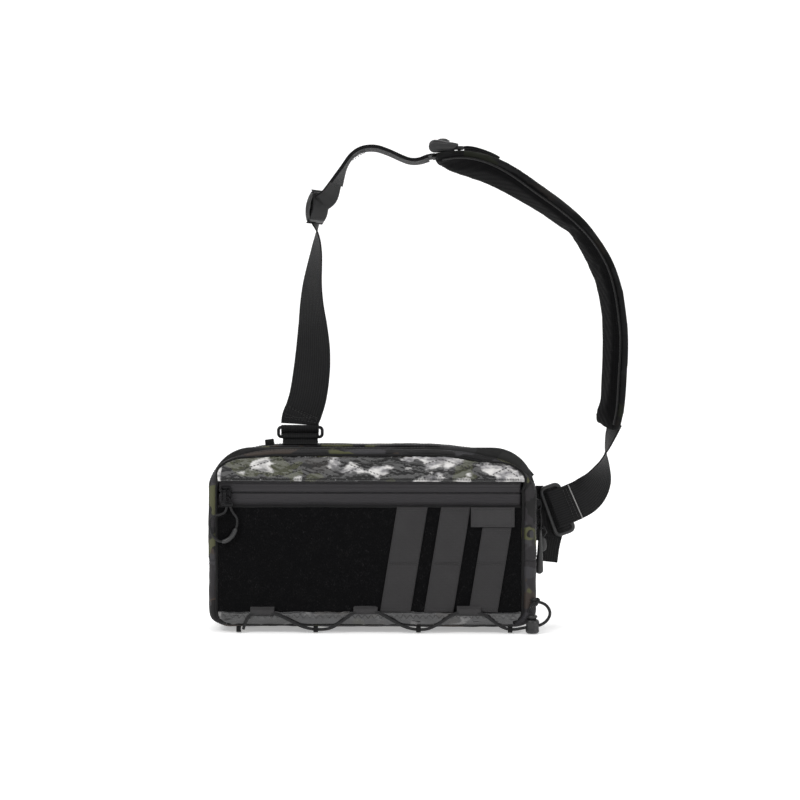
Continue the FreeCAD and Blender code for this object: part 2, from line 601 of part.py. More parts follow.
# Release buckle lying on the top end of the pad
buckle_x, buckle_z = 69.5, 482.0
female_box = span("female_box", (buckle_x - 14.5, buckle_x + 12.5), (plane - 20, plane + 20),
                  (buckle_z - 6, buckle_z + 5.4))
female_round = doc.addObject("Part::Fillet", "female_round")
female_round.Base = female_box
doc.recompute()
left_edges = []
for number, edge in enumerate(female_box.Shape.Edges, start=1):
    if edge.BoundBox.XMax < buckle_x - 14 and edge.BoundBox.YLength > 30:
        left_edges.append((number, 4.8, 4.8))
female_round.Edges = left_edges
button_well = rod("button_well", 5.6, 6.0, (buckle_x, plane, buckle_z + 1.4), (0, 0, 1))
male_socket = span("male_socket", (buckle_x - 6, buckle_x + 14), (plane - 16.3, plane + 16.3),
                   (buckle_z - 4.3, buckle_z + 0.3))
female_open = combine("Cut", "female_open", female_round, button_well)
keep(combine("Cut", "female_cut", female_open, male_socket), "buckle_female")
male_plate = span("male_plate", (buckle_x - 5.6, buckle_x + 20), (plane - 16, plane + 16),
                  (buckle_z - 4.0, buckle_z))
male_slot = span("male_slot", (buckle_x + 14.6, buckle_x + 17.4), (plane - 13.5, plane + 13.5),
                 (buckle_z - 6, buckle_z + 2))
keep(combine("Cut", "male_cut", male_plate, male_slot), "buckle_male")
keep(rod("button_disc", 5.2, 4.8, (buckle_x, plane, buckle_z + 2.8), (0, 0, 1)), "buckle_button")
KEEPER_LINE = [(85.0, 475.4, 0), (92.0, 477.4, -2), (104.0, 473.0, -6), (113.0, 468.6, -10)]
keep(solid("pad_loop_solid", band(KEEPER_LINE, 30.0, ply)), "pad_webbing_loop")

# Shoulder pad: mesh against the body, foam, and an outer cover
keep(solid("pad_foam_solid", band(PAD_LINE, pad_width - 5, foam)), "pad_foam")
cover_offset = foam / 2 + skin / 2 + 0.05
keep(solid("pad_cover_solid", band(PAD_LINE, pad_width, skin, offset=cover_offset)), "pad_cover")
keep(solid("pad_mesh_solid", band(PAD_LINE, pad_width, skin, offset=-cover_offset)), "pad_mesh")

# Right webbing, the ladder lock it is threaded through, and the tail
right_band = band(RIGHT_LINE, webbing, ply)
keep(solid("right_webbing_solid", right_band), "right_webbing")
fold_line = [(197.0, 122.1, 90), (181.0, 116.0, 90)]
keep(solid("right_fold_solid", band(fold_line, webbing, ply, offset=ply)), "right_webbing_fold")
lock_along = Vector(-0.94, 0, -0.342).normalize()
lock_across = Vector(-lock_along.z, 0, lock_along.x)
ladder_shape, ladder_place = buckle_frame(54.0, 22.0, 4.6, [(-8.0, -1.6), (1.6, 8.0)],
                                          Vector(185.5, plane + 3.4, 116.0), lock_across, lock_along)
ladder = solid("ladder_solid", ladder_shape)
ladder.Placement = ladder_place
keep(ladder, "ladder_lock")
anchor_line = [(187.0, 113.0, 90), (176.8, 109.3, 90)]
keep(solid("right_anchor_solid", band(anchor_line, webbing, ply, y=plane + 6.8)), "right_anchor_webbing")
tail_line = [(184.0, 100.0, 82), (179.0, 80.0, 80), (176.5, 62.0, 78)]
keep(solid("tail_solid", band(tail_line, 20.0, ply, y=plane + 10.5)), "webbing_tail")

# ---------------------------------------------------------------- check and write
doc.recompute()
for item in doc.Objects:
    if "Invalid" in item.State or "Error" in item.State:
        raise RuntimeError("%s failed to build: %s" % (item.Label, item.State))
os.makedirs("parts", exist_ok=True)
for part in nodes:
    shape = part.Shape
    if shape.isNull() or not shape.isValid() or shape.Volume <= 0:
        raise RuntimeError("%s is not a valid solid" % part.Label)
    shape.exportStep("parts/%s.step" % part.Label)
print("%d sub-parts written" % len(nodes))
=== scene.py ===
"""A camouflage box sling bag with one carrying loop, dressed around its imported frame.

Lengths in this file are millimetres and are turned into metres where a mesh is made.
X runs along the bag's width, -Y is its front, Z is up; the origin is the middle of its base.
"""
import logging
import math
from dataclasses import dataclass, field
from enum import Enum
from typing import Callable, Sequence

import bpy
import numpy as np
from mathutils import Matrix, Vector


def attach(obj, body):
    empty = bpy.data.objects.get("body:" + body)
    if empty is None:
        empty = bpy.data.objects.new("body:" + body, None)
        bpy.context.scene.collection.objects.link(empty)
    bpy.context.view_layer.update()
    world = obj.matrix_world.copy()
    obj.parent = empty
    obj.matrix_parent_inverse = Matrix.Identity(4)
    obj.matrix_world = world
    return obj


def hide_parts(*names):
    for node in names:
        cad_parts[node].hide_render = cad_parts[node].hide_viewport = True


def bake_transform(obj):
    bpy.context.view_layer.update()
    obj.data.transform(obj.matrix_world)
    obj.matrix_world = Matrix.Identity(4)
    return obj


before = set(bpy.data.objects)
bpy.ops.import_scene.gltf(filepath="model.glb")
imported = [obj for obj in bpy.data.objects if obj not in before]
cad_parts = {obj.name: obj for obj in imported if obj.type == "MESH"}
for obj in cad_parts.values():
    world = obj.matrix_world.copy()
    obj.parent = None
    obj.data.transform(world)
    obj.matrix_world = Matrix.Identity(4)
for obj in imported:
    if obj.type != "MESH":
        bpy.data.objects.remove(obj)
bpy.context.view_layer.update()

LOG = logging.getLogger("sling_bag")
MM = 0.001
Array = np.ndarray
RANDOM_SEED = 509
CLOTH_FRAMES = 20
FRONT = np.array([0.0, -1.0, 0.0])


class Body(str, Enum):
    """The rigid bodies that pieces ride on."""

    BAG = "bag"
    FLAP = "front_flap"
    STRAP = "strap"
    POCKET_SLIDER = "pocket_slider"
    POCKET_PULL = "pocket_pull"
    UPPER_SLIDER = "mouth_slider_upper"
    UPPER_PULL = "mouth_pull_upper"
    LOWER_SLIDER = "mouth_slider_lower"
    LOWER_PULL = "mouth_pull_lower"
    LOCK_BUTTON = "cord_lock_button"
    BUCKLE_BUTTON = "buckle_button"


# ------------------------------------------------------------------ mesh building


def unit(vectors: Array) -> Array:
    """Vectors scaled to length one along their last axis."""
    lengths = np.linalg.norm(vectors, axis=-1, keepdims=True)
    return vectors / np.maximum(lengths, 1e-9)


def lengths_along(line: Array) -> Array:
    """The length walked from a line's first point to each of its points."""
    return np.concatenate([[0.0], np.cumsum(np.linalg.norm(np.diff(line, axis=0), axis=-1))])


def sampled(line: Array, walked: Array, wanted: Array) -> Array:
    """Points of a line at wanted lengths, where `walked` holds the length at each of its points."""
    return np.stack([np.interp(wanted, walked, line[:, k]) for k in range(line.shape[1])], axis=-1)


def tangents(path: Array, closed: bool = False) -> Array:
    """Unit directions along a path: from the point before to the point after."""
    if closed:
        return unit(np.roll(path, -1, axis=0) - np.roll(path, 1, axis=0))
    return unit(np.gradient(path, axis=0))


def xyz(x: object, y: object, z: object) -> Array:
    """Places from three coordinates, each a number or an array that broadcasts with the others."""
    return np.stack(np.broadcast_arrays(x, y, z), axis=-1)


def smooth_step(values: Array, low: float, high: float) -> Array:
    """0 below low, 1 above high, and 3t^2 - 2t^3 between them."""
    t = np.clip((values - low) / (high - low), 0.0, 1.0)
    return t * t * (3.0 - 2.0 * t)


def ripple(points: Array, wavelength: float, seed: int) -> Array:
    """Soft noise in -1..1: a sum of sine waves whose directions and phases come from the seed.

    Args:
        points: places in millimetres, any shape ending in 3.
        wavelength: the longest wave, in millimetres.
        seed: chooses the waves.

    Returns:
        One value for each place.
    """
    source = np.random.default_rng(RANDOM_SEED + seed)
    total = np.zeros(points.shape[:-1])
    weight = 0.0
    for octave in range(4):
        share = 0.62 ** octave
        for _ in range(3):
            direction = unit(source.normal(size=3))
            phase = source.uniform(0.0, 2.0 * math.pi)
            wave = 2.0 * math.pi / (wavelength * 0.55 ** octave)
            total = total + share * np.sin(points @ direction * wave + phase)
            weight += share
    return total / weight * 1.7


def lay_cloth(mesh: bpy.types.Mesh, uv: Array) -> None:
    """Writes one uv for each vertex, in millimetres, as the mesh's cloth map."""
    layer = mesh.uv_layers.get("cloth") or mesh.uv_layers.new(name="cloth")
    corner = np.empty(len(mesh.loops), dtype=np.int64)
    mesh.loops.foreach_get("vertex_index", corner)
    layer.data.foreach_set("uv", (np.asarray(uv, float)[corner] * MM).astype(np.float32).ravel())


def vertex_places(mesh: bpy.types.Mesh) -> Array:
    """A mesh's vertices as rows of three, in metres."""
    places = np.empty(len(mesh.vertices) * 3)
    mesh.vertices.foreach_get("co", places)
    return places.reshape(-1, 3)


def piece(name: str, vertices: Array, faces: Sequence[Sequence[int]], finish: "Finish",
          uv: Array | None = None, smooth: bool = True) -> bpy.types.Object:
    """Makes one object from vertices in millimetres, quads or polygons, and one uv per vertex."""
    mesh = bpy.data.meshes.new(name)
    mesh.from_pydata((np.asarray(vertices, float) * MM).tolist(), [],
                     [list(face) for face in faces])
    mesh.validate()
    if uv is not None:
        lay_cloth(mesh, uv)
    mesh.polygons.foreach_set("use_smooth", np.full(len(mesh.polygons), smooth))
    mesh.materials.append(finish.material())
    mesh.update()
    made = bpy.data.objects.new(name, mesh)
    bpy.context.scene.collection.objects.link(made)
    return made


def quads(rows: int, columns: int, close_rows: bool = False, close_columns: bool = False) -> Array:
    """Corner numbers of the faces of a grid stored row by row."""
    last_row = rows if close_rows else rows - 1
    last_column = columns if close_columns else columns - 1
    i, j = np.meshgrid(np.arange(last_row), np.arange(last_column), indexing="ij")
    i_next, j_next = (i + 1) % rows, (j + 1) % columns
    corners = [i * columns + j, i * columns + j_next, i_next * columns + j_next,
               i_next * columns + j]
    return np.stack(corners, axis=-1).reshape(-1, 4)


def grid_uv(points: Array) -> Array:
    """A uv in millimetres for a grid: the lengths walked along its middle row and middle column."""
    rows, columns = points.shape[:2]
    v, u = lengths_along(points[:, columns // 2]), lengths_along(points[rows // 2])
    return np.stack(np.meshgrid(u, v), axis=-1)


def grid_normals(points: Array, towards: Array) -> Array:
    """Unit normals of a grid, turned to the side that `towards` points to."""
    along = np.gradient(points, axis=0)
    across = np.gradient(points, axis=1)
    normals = unit(np.cross(across, along))
    side = np.sum(normals * towards, axis=-1, keepdims=True)
    return np.where(side < 0.0, -normals, normals)


def slab(name: str, points: Array, towards: Array, thickness: float,
         finish: "Finish") -> bpy.types.Object:
    """A closed sheet: a grid, its copy one thickness inside, and a softened rim.

    Each row of the grid becomes a ring that runs over the outer face and back along the inner
    face; the two end rings are closed by quads between facing points.
    """
    normals = grid_normals(points, towards)
    rows, columns = points.shape[:2]
    soften = min(thickness * 0.35, 0.5)
    edge = np.zeros((rows, columns, 1))
    edge[0] = edge[-1] = soften
    edge[:, 0] = edge[:, -1] = soften
    outer = points - normals * edge
    inner = points - normals * (thickness - edge)
    ring = np.concatenate([outer, inner[:, ::-1]], axis=1)
    uv = grid_uv(points)
    ring_uv = np.concatenate([uv, uv[:, ::-1]], axis=1)
    faces = quads(rows, 2 * columns, close_columns=True).tolist()
    for row, flip in ((0, False), (rows - 1, True)):
        start = row * 2 * columns
        for j in range(columns - 1):
            face = [start + j, start + 2 * columns - 1 - j, start + 2 * columns - 2 - j,
                    start + j + 1]
            faces.append(face[::-1] if flip else face)
    made = piece(name, ring.reshape(-1, 3), faces, finish, ring_uv.reshape(-1, 2))
    face_outwards(made)
    return made


def face_outwards(made: bpy.types.Object) -> None:
    """Recalculates a closed mesh's normals so that they point out of it."""
    import bmesh

    work = bmesh.new()
    work.from_mesh(made.data)
    bmesh.ops.recalc_face_normals(work, faces=work.faces)
    work.to_mesh(made.data)
    work.free()
    made.data.update()


def carry(name: str, section: Array, centres: Array, across: Array, normal: Array, finish: "Finish",
          closed: bool = False) -> bpy.types.Object:
    """A closed section (points as across, normal) carried along a path; open paths get end caps."""
    count = len(centres)
    ring = (centres[:, None, :] + section[None, :, :1] * across[:, None, :]
            + section[None, :, 1:] * normal[:, None, :])
    walked = lengths_along(centres)
    u = np.broadcast_to(section[None, :, 0], ring.shape[:2])
    v = np.broadcast_to(walked[:, None], ring.shape[:2])
    faces = quads(count, len(section), closed, True).tolist()
    if not closed:
        faces.append(list(range(len(section)))[::-1])
        faces.append([(count - 1) * len(section) + k for k in range(len(section))])
    made = piece(name, ring.reshape(-1, 3), faces, finish, np.stack([u, v], axis=-1).reshape(-1, 2))
    face_outwards(made)
    return made


def tube(name: str, rings: Array, finish: "Finish") -> bpy.types.Object:
    """A closed tube through rows of rings, with a flat cap at each end."""
    rows, columns = rings.shape[:2]
    faces = quads(rows, columns, close_columns=True).tolist()
    faces += [list(range(columns)), [(rows - 1) * columns + k for k in range(columns)]]
    made = piece(name, rings.reshape(-1, 3), faces, finish)
    face_outwards(made)
    return made


def rounded_section(width: float, thickness: float, corner: float, steps: int = 3,
                    spread: int = 9) -> Array:
    """The outline of a rounded rectangle, with points spread over its two long sides."""
    half_w, half_t = width / 2 - corner, thickness / 2 - corner
    points: list[tuple[float, float]] = []
    for index, (sx, sy) in enumerate(((1, -1), (1, 1), (-1, 1), (-1, -1))):
        start = math.pi / 2 * (index - 1)
        for step in range(steps + 1):
            angle = start + math.pi / 2 * step / steps
            points.append((sx * half_w + corner * math.cos(angle),
                           sy * half_t + corner * math.sin(angle)))
        if index in (1, 3):
            for step in range(1, spread):
                x = sx * half_w * (1 - 2 * step / spread)
                points.append((x, sy * thickness / 2))
    return np.array(points)


def superellipse(width: float, height: float, power: float, count: int) -> Array:
    """Points of |x/a|^p + |y/b|^p = 1, evenly spaced by angle."""
    angle = np.linspace(0.0, 2.0 * math.pi, count, endpoint=False)
    c, s = np.cos(angle), np.sin(angle)
    x = np.sign(c) * np.abs(c) ** (2.0 / power) * width / 2
    y = np.sign(s) * np.abs(s) ** (2.0 / power) * height / 2
    return np.stack([x, y], axis=-1)


def lump(name: str, centre: Sequence[float], sizes: Sequence[float], finish: "Finish",
         power: float) -> bpy.types.Object:
    """A rounded block: a superellipsoid of the given full sizes, with poles on its third axis."""
    vertices, faces = lump_arrays(sizes, power, 14, 24)
    return piece(name, vertices + np.asarray(centre, float), faces, finish, vertices[:, :2])


def lump_arrays(sizes: Sequence[float], power: float, rows: int,
                columns: int) -> tuple[Array, list]:
    """Vertices and faces of a superellipsoid about the origin."""
    tilt = np.linspace(-math.pi / 2, math.pi / 2, rows)[1:-1]
    turn = np.linspace(0.0, 2.0 * math.pi, columns, endpoint=False)

    def bent(values: Array) -> Array:
        """A signed power, which squares off a circle's rounding."""
        return np.sign(values) * np.abs(values) ** (2.0 / power)

    radius = bent(np.cos(tilt))[:, None]
    x = radius * bent(np.cos(turn))[None, :] * sizes[0] / 2
    y = radius * bent(np.sin(turn))[None, :] * sizes[1] / 2
    z = np.broadcast_to(bent(np.sin(tilt))[:, None], x.shape) * sizes[2] / 2
    body = xyz(x, y, z).reshape(-1, 3)
    poles = np.array([[0.0, 0.0, -sizes[2] / 2], [0.0, 0.0, sizes[2] / 2]])
    vertices = np.concatenate([body, poles])
    faces = quads(rows - 2, columns, close_columns=True).tolist()
    low, high = len(body), len(body) + 1
    last = (rows - 3) * columns
    for j in range(columns):
        k = (j + 1) % columns
        faces.append([low, k, j])
        faces.append([high, last + j, last + k])
    return vertices, faces


def merged(name: str, parts: Sequence[bpy.types.Object]) -> bpy.types.Object:
    """Joins several pieces of one finish into one object."""
    bpy.ops.object.select_all(action="DESELECT")
    for part in parts:
        part.select_set(True)
    bpy.context.view_layer.objects.active = parts[0]
    if len(parts) > 1:
        bpy.ops.object.join()
    made = bpy.context.view_layer.objects.active
    made.name = name
    made.data.name = name
    return made


def stitch_row(starts: Array, ends: Array, thread: float) -> tuple[Array, Array]:
    """Small six-sided capsules, one from each start to each end, as one set of arrays.

    Each stitch has four rings of six points; the end rings are pinched to a fifth of the radius
    and lie a little lower, as thread does where it enters cloth.
    """
    along = ends - starts
    length = np.linalg.norm(along, axis=-1, keepdims=True)
    direction = along / np.maximum(length, 1e-9)
    reference = np.where(np.abs(direction[:, 1:2]) > 0.9, [[1.0, 0.0, 0.0]], [[0.0, 1.0, 0.0]])
    side = unit(np.cross(direction, reference))
    other = np.cross(direction, side)
    angle = np.linspace(0.0, 2.0 * math.pi, 6, endpoint=False)
    shares = np.array([0.0, 0.2, 0.8, 1.0])
    radii = np.array([0.2, 1.0, 1.0, 0.2]) * thread / 2
    ring = (np.cos(angle)[:, None] * side[:, None, None, :]
            + np.sin(angle)[:, None] * other[:, None, None, :])
    centres = starts[:, None, None, :] + shares[None, :, None, None] * along[:, None, None, :]
    vertices = centres + radii[None, :, None, None] * ring
    base = quads(4, 6, close_columns=True)
    caps = [[5, 4, 3, 2], [5, 2, 1, 0], [18, 19, 20, 21], [18, 21, 22, 23]]
    one = np.concatenate([base, np.array(caps)])
    faces = (one[None] + 24 * np.arange(len(starts))[:, None, None]).reshape(-1, 4)
    return vertices.reshape(-1, 3), faces


def stitched_line(line: Array, pitch: float, gap: float = 0.28) -> tuple[Array, Array]:
    """Starts and ends of even stitches along a polyline."""
    walked = lengths_along(line)
    count = max(1, int(walked[-1] / pitch))
    begin = np.arange(count) * walked[-1] / count
    finish = begin + walked[-1] / count * (1.0 - gap)

    return sampled(line, walked, begin), sampled(line, walked, finish)


def sewing(name: str, lines: Sequence[Array], pitch: float, thread: float,
           finish: "Finish") -> bpy.types.Object:
    """All the stitches along several lines as one piece."""
    starts, ends = zip(*[stitched_line(line, pitch) for line in lines])
    vertices, faces = stitch_row(np.concatenate(starts), np.concatenate(ends), thread)
    return piece(name, vertices, faces, finish)


def spline(points: Sequence[Sequence[float]], count: int) -> Array:
    """A centripetal-like Catmull-Rom curve through the points, resampled evenly by length."""
    p = np.asarray(points, float)
    padded = np.concatenate([[2 * p[0] - p[1]], p, [2 * p[-1] - p[-2]]])
    t = np.linspace(0.0, 1.0, 24, endpoint=False)[:, None]
    runs = []
    for k in range(len(p) - 1):
        a, b, c, d = padded[k:k + 4]
        runs.append(0.5 * (2 * b + (c - a) * t + (2 * a - 5 * b + 4 * c - d) * t ** 2
                           + (3 * b - a - 3 * c + d) * t ** 3))
    dense = np.concatenate(runs + [p[-1:]])
    walked = lengths_along(dense[:, :2])
    wanted = np.linspace(0.0, walked[-1], count)
    return sampled(dense, walked, wanted)


# ------------------------------------------------------------------ finishes


def paint(code: str) -> tuple[float, float, float, float]:
    """A hex colour as the linear values that a shader takes."""
    values = [int(code[k:k + 2], 16) / 255.0 for k in (0, 2, 4)]
    linear = [v / 12.92 if v <= 0.04045 else ((v + 0.055) / 1.055) ** 2.4 for v in values]
    return linear[0], linear[1], linear[2], 1.0


class Graph:
    """A short way to write a node tree: nodes, links and sums."""

    def __init__(self, tree: bpy.types.NodeTree) -> None:
        """Keeps the tree that nodes are added to."""
        self.tree = tree

    def node(self, kind: str, **inputs: object) -> bpy.types.Node:
        """Adds a node; upper-case names are its sockets, the rest are its properties."""
        made = self.tree.nodes.new(kind)
        for key, value in inputs.items():
            if key[0].islower():
                setattr(made, key, value)
        for key, value in inputs.items():
            if not key[0].islower():
                self.feed(made.inputs[key.replace("_", " ")], value)
        return made

    def feed(self, socket: bpy.types.NodeSocket, value: object) -> None:
        """Links a socket to a socket, or sets the number or colour on it."""
        if isinstance(value, bpy.types.NodeSocket):
            self.tree.links.new(value, socket)
        else:
            socket.default_value = value

    def math(self, operation: str, *values: object) -> bpy.types.NodeSocket:
        """One Math node on up to three values."""
        made = self.tree.nodes.new("ShaderNodeMath")
        made.operation = operation
        for socket, value in zip(made.inputs, values):
            self.feed(socket, value)
        return made.outputs[0]

    def times(self, first: object, second: object) -> bpy.types.NodeSocket:
        """A product."""
        return self.math("MULTIPLY", first, second)

    def plus(self, first: object, second: object) -> bpy.types.NodeSocket:
        """A sum."""
        return self.math("ADD", first, second)

    def place(self) -> bpy.types.NodeSocket:
        """The object's own coordinates."""
        return self.node("ShaderNodeTexCoord").outputs["Object"]

    def cloth(self) -> bpy.types.NodeSocket:
        """The piece's cloth map."""
        return self.node("ShaderNodeUVMap", uv_map="cloth").outputs[0]

    def mix(self, share: object, first: object, second: object) -> bpy.types.NodeSocket:
        """A colour mix."""
        made = self.tree.nodes.new("ShaderNodeMix")
        made.data_type = "RGBA"
        for socket, value in zip((made.inputs[0], made.inputs[6], made.inputs[7]),
                                 (share, first, second)):
            self.feed(socket, value)
        return made.outputs[2]

    def window(self, value: object, low: float, high: float, to_low: float = 0.0,
               to_high: float = 1.0) -> bpy.types.NodeSocket:
        """A smooth Map Range."""
        made = self.tree.nodes.new("ShaderNodeMapRange")
        made.interpolation_type = "SMOOTHSTEP"
        for socket, item in zip(made.inputs, (value, low, high, to_low, to_high)):
            self.feed(socket, item)
        return made.outputs[0]

    def noise(self, vector: object, scale: float, detail: float = 3.0,
              stretch: Sequence[float] | None = None,
              shift: float = 0.0) -> bpy.types.NodeSocket:
        """Noise of a scale, on a vector that may be stretched and shifted first."""
        source = vector
        if stretch is not None or shift:
            mapping = self.node("ShaderNodeMapping", Vector=vector)
            mapping.inputs["Scale"].default_value = stretch or (1.0, 1.0, 1.0)
            mapping.inputs["Location"].default_value = (shift, shift * 0.7, -shift * 0.4)
            source = mapping.outputs[0]
        made = self.node("ShaderNodeTexNoise", Vector=source, Scale=scale, Detail=detail)
        return made.outputs["Fac"]


class Effects:
    """Shader groups shared by several finishes, each built once."""

    _made: dict[str, bpy.types.NodeTree] = {}

    @classmethod
    def group(cls, name: str, inputs: Sequence[tuple[str, str, object]],
              outputs: Sequence[tuple[str, str]],
              build: Callable[[Graph, dict, dict], None]) -> bpy.types.NodeTree:
        """Makes a group with named sockets the first time, and returns it."""
        if name in cls._made:
            return cls._made[name]
        tree = bpy.data.node_groups.new(name, "ShaderNodeTree")
        for label, kind, default in inputs:
            socket = tree.interface.new_socket(label, in_out="INPUT", socket_type=kind)
            if default is not None:
                socket.default_value = default
        for label, kind in outputs:
            tree.interface.new_socket(label, in_out="OUTPUT", socket_type=kind)
        graph = Graph(tree)
        source = tree.nodes.new("NodeGroupInput")
        target = tree.nodes.new("NodeGroupOutput")
        build(graph, {s.name: s for s in source.outputs if s.name},
              {s.name: s for s in target.inputs if s.name})
        cls._made[name] = tree
        return tree

    @classmethod
    def plain_weave(cls) -> bpy.types.NodeTree:
        """Over-and-under cloth: threads of each direction take turns on top, like a chessboard."""

        def build(g: Graph, i: dict, o: dict) -> None:
            """Fills the group with its nodes."""
            parts = g.node("ShaderNodeSeparateXYZ", Vector=i["Vector"])
            u = g.times(parts.outputs[0], i["Threads"])
            v = g.times(parts.outputs[1], i["Threads"])
            turn = g.math("MODULO", g.plus(g.math("FLOOR", u), g.math("FLOOR", v)), 2.0)
            turn = g.math("ABSOLUTE", turn)
            over_u = g.math("ABSOLUTE", g.math("SINE", g.times(u, math.pi)))
            over_v = g.math("ABSOLUTE", g.math("SINE", g.times(v, math.pi)))
            first = g.times(over_u, turn)
            second = g.times(over_v, g.math("SUBTRACT", 1.0, turn))
            g.feed(o["Height"], g.plus(first, second))

        return cls.group("plain weave", [("Vector", "NodeSocketVector", None),
                                         ("Threads", "NodeSocketFloat", 900.0)],
                         [("Height", "NodeSocketFloat")], build)

    @classmethod
    def webbing_weave(cls) -> bpy.types.NodeTree:
        """Narrow columns of leaning ribs, each column leaning the other way to the next."""

        def build(g: Graph, i: dict, o: dict) -> None:
            """Fills the group with its nodes."""
            parts = g.node("ShaderNodeSeparateXYZ", Vector=i["Vector"])
            columns = g.times(parts.outputs[0], i["Columns"])
            share = g.math("FRACT", columns)
            peak = g.math("ABSOLUTE", g.math("SUBTRACT", g.times(share, 2.0), 1.0))
            walk = g.times(parts.outputs[1], i["Ribs"])
            wave = g.math("SINE", g.times(g.plus(walk, peak), 2.0 * math.pi))
            ridge = g.math("SUBTRACT", 1.0, g.math("POWER", peak, 3.0))
            height = g.times(g.plus(g.times(wave, 0.35), 0.65), ridge)
            g.feed(o["Height"], height)

        sockets = [("Vector", "NodeSocketVector", None), ("Columns", "NodeSocketFloat", 420.0),
                   ("Ribs", "NodeSocketFloat", 700.0)]
        return cls.group("webbing weave", sockets, [("Height", "NodeSocketFloat")], build)

    @classmethod
    def camouflage(cls) -> bpy.types.NodeTree:
        """Dark multi-colour patches: each colour lies where its own stretched noise is high."""

        def build(g: Graph, i: dict, o: dict) -> None:
            """Fills the group with its nodes."""
            warp = g.node("ShaderNodeTexNoise", Vector=i["Vector"], Scale=60.0, Detail=2.0)
            bend = g.node("ShaderNodeVectorMath", operation="MULTIPLY_ADD")
            g.feed(bend.inputs[0], warp.outputs["Color"])
            bend.inputs[1].default_value = (0.010, 0.010, 0.010)
            g.feed(bend.inputs[2], i["Vector"])
            place = bend.outputs[0]
            colour = i["Base"]
            layers = (("Brown", 30.0, (0.75, 1.0, 1.3), 0.3, 0.56, 0.58),
                      ("Grey", 34.0, (0.7, 1.0, 1.3), 1.9, 0.55, 0.575),
                      ("Black", 30.0, (0.7, 1.0, 1.4), 7.7, 0.54, 0.555),
                      ("Olive", 27.0, (0.8, 1.0, 1.2), 4.2, 0.60, 0.615))
            for label, scale, stretch, shift, low, high in layers:
                patch = g.window(g.noise(place, scale, 2.0, stretch, shift), low, high)
                colour = g.mix(patch, colour, i[label])
            fade = g.noise(i["Vector"], 9.0, 3.0)
            colour = g.mix(g.window(fade, 0.35, 0.8, 0.0, 0.22), colour, i["Grey"])
            g.feed(o["Color"], colour)

        sockets = [("Vector", "NodeSocketVector", None)]
        sockets += [(label, "NodeSocketColor", (0.1, 0.1, 0.1, 1.0))
                    for label in ("Base", "Brown", "Grey", "Olive", "Black")]
        return cls.group("camouflage", sockets, [("Color", "NodeSocketColor")], build)

    @classmethod
    def lint(cls) -> bpy.types.NodeTree:
        """Sparse pale specks and short fibres, and broad handling marks."""

        def build(g: Graph, i: dict, o: dict) -> None:
            """Fills the group with its nodes."""
            specks = g.noise(i["Vector"], 2600.0, 2.0)
            clumps = g.noise(i["Vector"], 130.0, 3.0, shift=3.0)
            mask = g.times(g.window(specks, 0.66, 0.76), g.window(clumps, 0.5, 0.68))
            g.feed(o["Specks"], g.times(mask, i["Amount"]))
            g.feed(o["Marks"], g.window(g.noise(i["Vector"], 42.0, 4.0, shift=8.0), 0.3, 0.75))

        return cls.group("lint",
                         [("Vector", "NodeSocketVector", None), ("Amount", "NodeSocketFloat", 0.3)],
                         [("Specks", "NodeSocketFloat"), ("Marks", "NodeSocketFloat")], build)

    @classmethod
    def moulded_grain(cls) -> bpy.types.NodeTree:
        """The fine spark-eroded texture of moulded plastic, with a few rubbed streaks."""

        def build(g: Graph, i: dict, o: dict) -> None:
            """Fills the group with its nodes."""
            fine = g.noise(i["Vector"], 3400.0, 3.0)
            streak = g.noise(i["Vector"], 160.0, 4.0, (1.0, 1.0, 9.0), 2.0)
            g.feed(o["Height"], g.plus(g.times(fine, 0.7), g.times(streak, 0.3)))
            g.feed(o["Rubbed"], g.window(streak, 0.56, 0.72))

        return cls.group("moulded grain", [("Vector", "NodeSocketVector", None)],
                         [("Height", "NodeSocketFloat"), ("Rubbed", "NodeSocketFloat")], build)


class Finish:
    """A surface finish; its material is built once and shared."""

    title: str = ""
    _materials: dict[str, bpy.types.Material] = {}

    def build(self, g: Graph, shader: bpy.types.Node) -> None:
        """Adds the nodes that feed the shader."""
        raise NotImplementedError

    def material(self) -> bpy.types.Material:
        """The finish as a material, made the first time it is asked for."""
        if self.title not in Finish._materials:
            made = bpy.data.materials.new(self.title)
            made.use_nodes = True
            tree = made.node_tree
            tree.nodes.clear()
            graph = Graph(tree)
            shader = graph.node("ShaderNodeBsdfPrincipled")
            output = graph.node("ShaderNodeOutputMaterial")
            tree.links.new(shader.outputs[0], output.inputs[0])
            self.build(graph, shader)
            Finish._materials[self.title] = made
        return Finish._materials[self.title]


def use(g: Graph, tree: bpy.types.NodeTree, **inputs: object) -> bpy.types.Node:
    """Places a shader group and fills its sockets."""
    made = g.tree.nodes.new("ShaderNodeGroup")
    made.node_tree = tree
    for key, value in inputs.items():
        g.feed(made.inputs[key.replace("_", " ")], value)
    return made


def soft_surface(shader: bpy.types.Node, specular: float = 0.18, sheen: float = 0.03) -> None:
    """Cloth's weak highlight and faint sheen, the same all over."""
    shader.inputs["Specular IOR Level"].default_value = specular
    shader.inputs["Sheen Weight"].default_value = sheen
    shader.inputs["Sheen Roughness"].default_value = 0.5


def relief(g: Graph, shader: bpy.types.Node, height: object, strength: float, depth: float) -> None:
    """Feeds the shader's normal from a height, through one Bump node."""
    bump = g.node("ShaderNodeBump", Height=height)
    bump.inputs["Strength"].default_value = strength
    bump.inputs["Distance"].default_value = depth
    g.feed(shader.inputs["Normal"], bump.outputs[0])


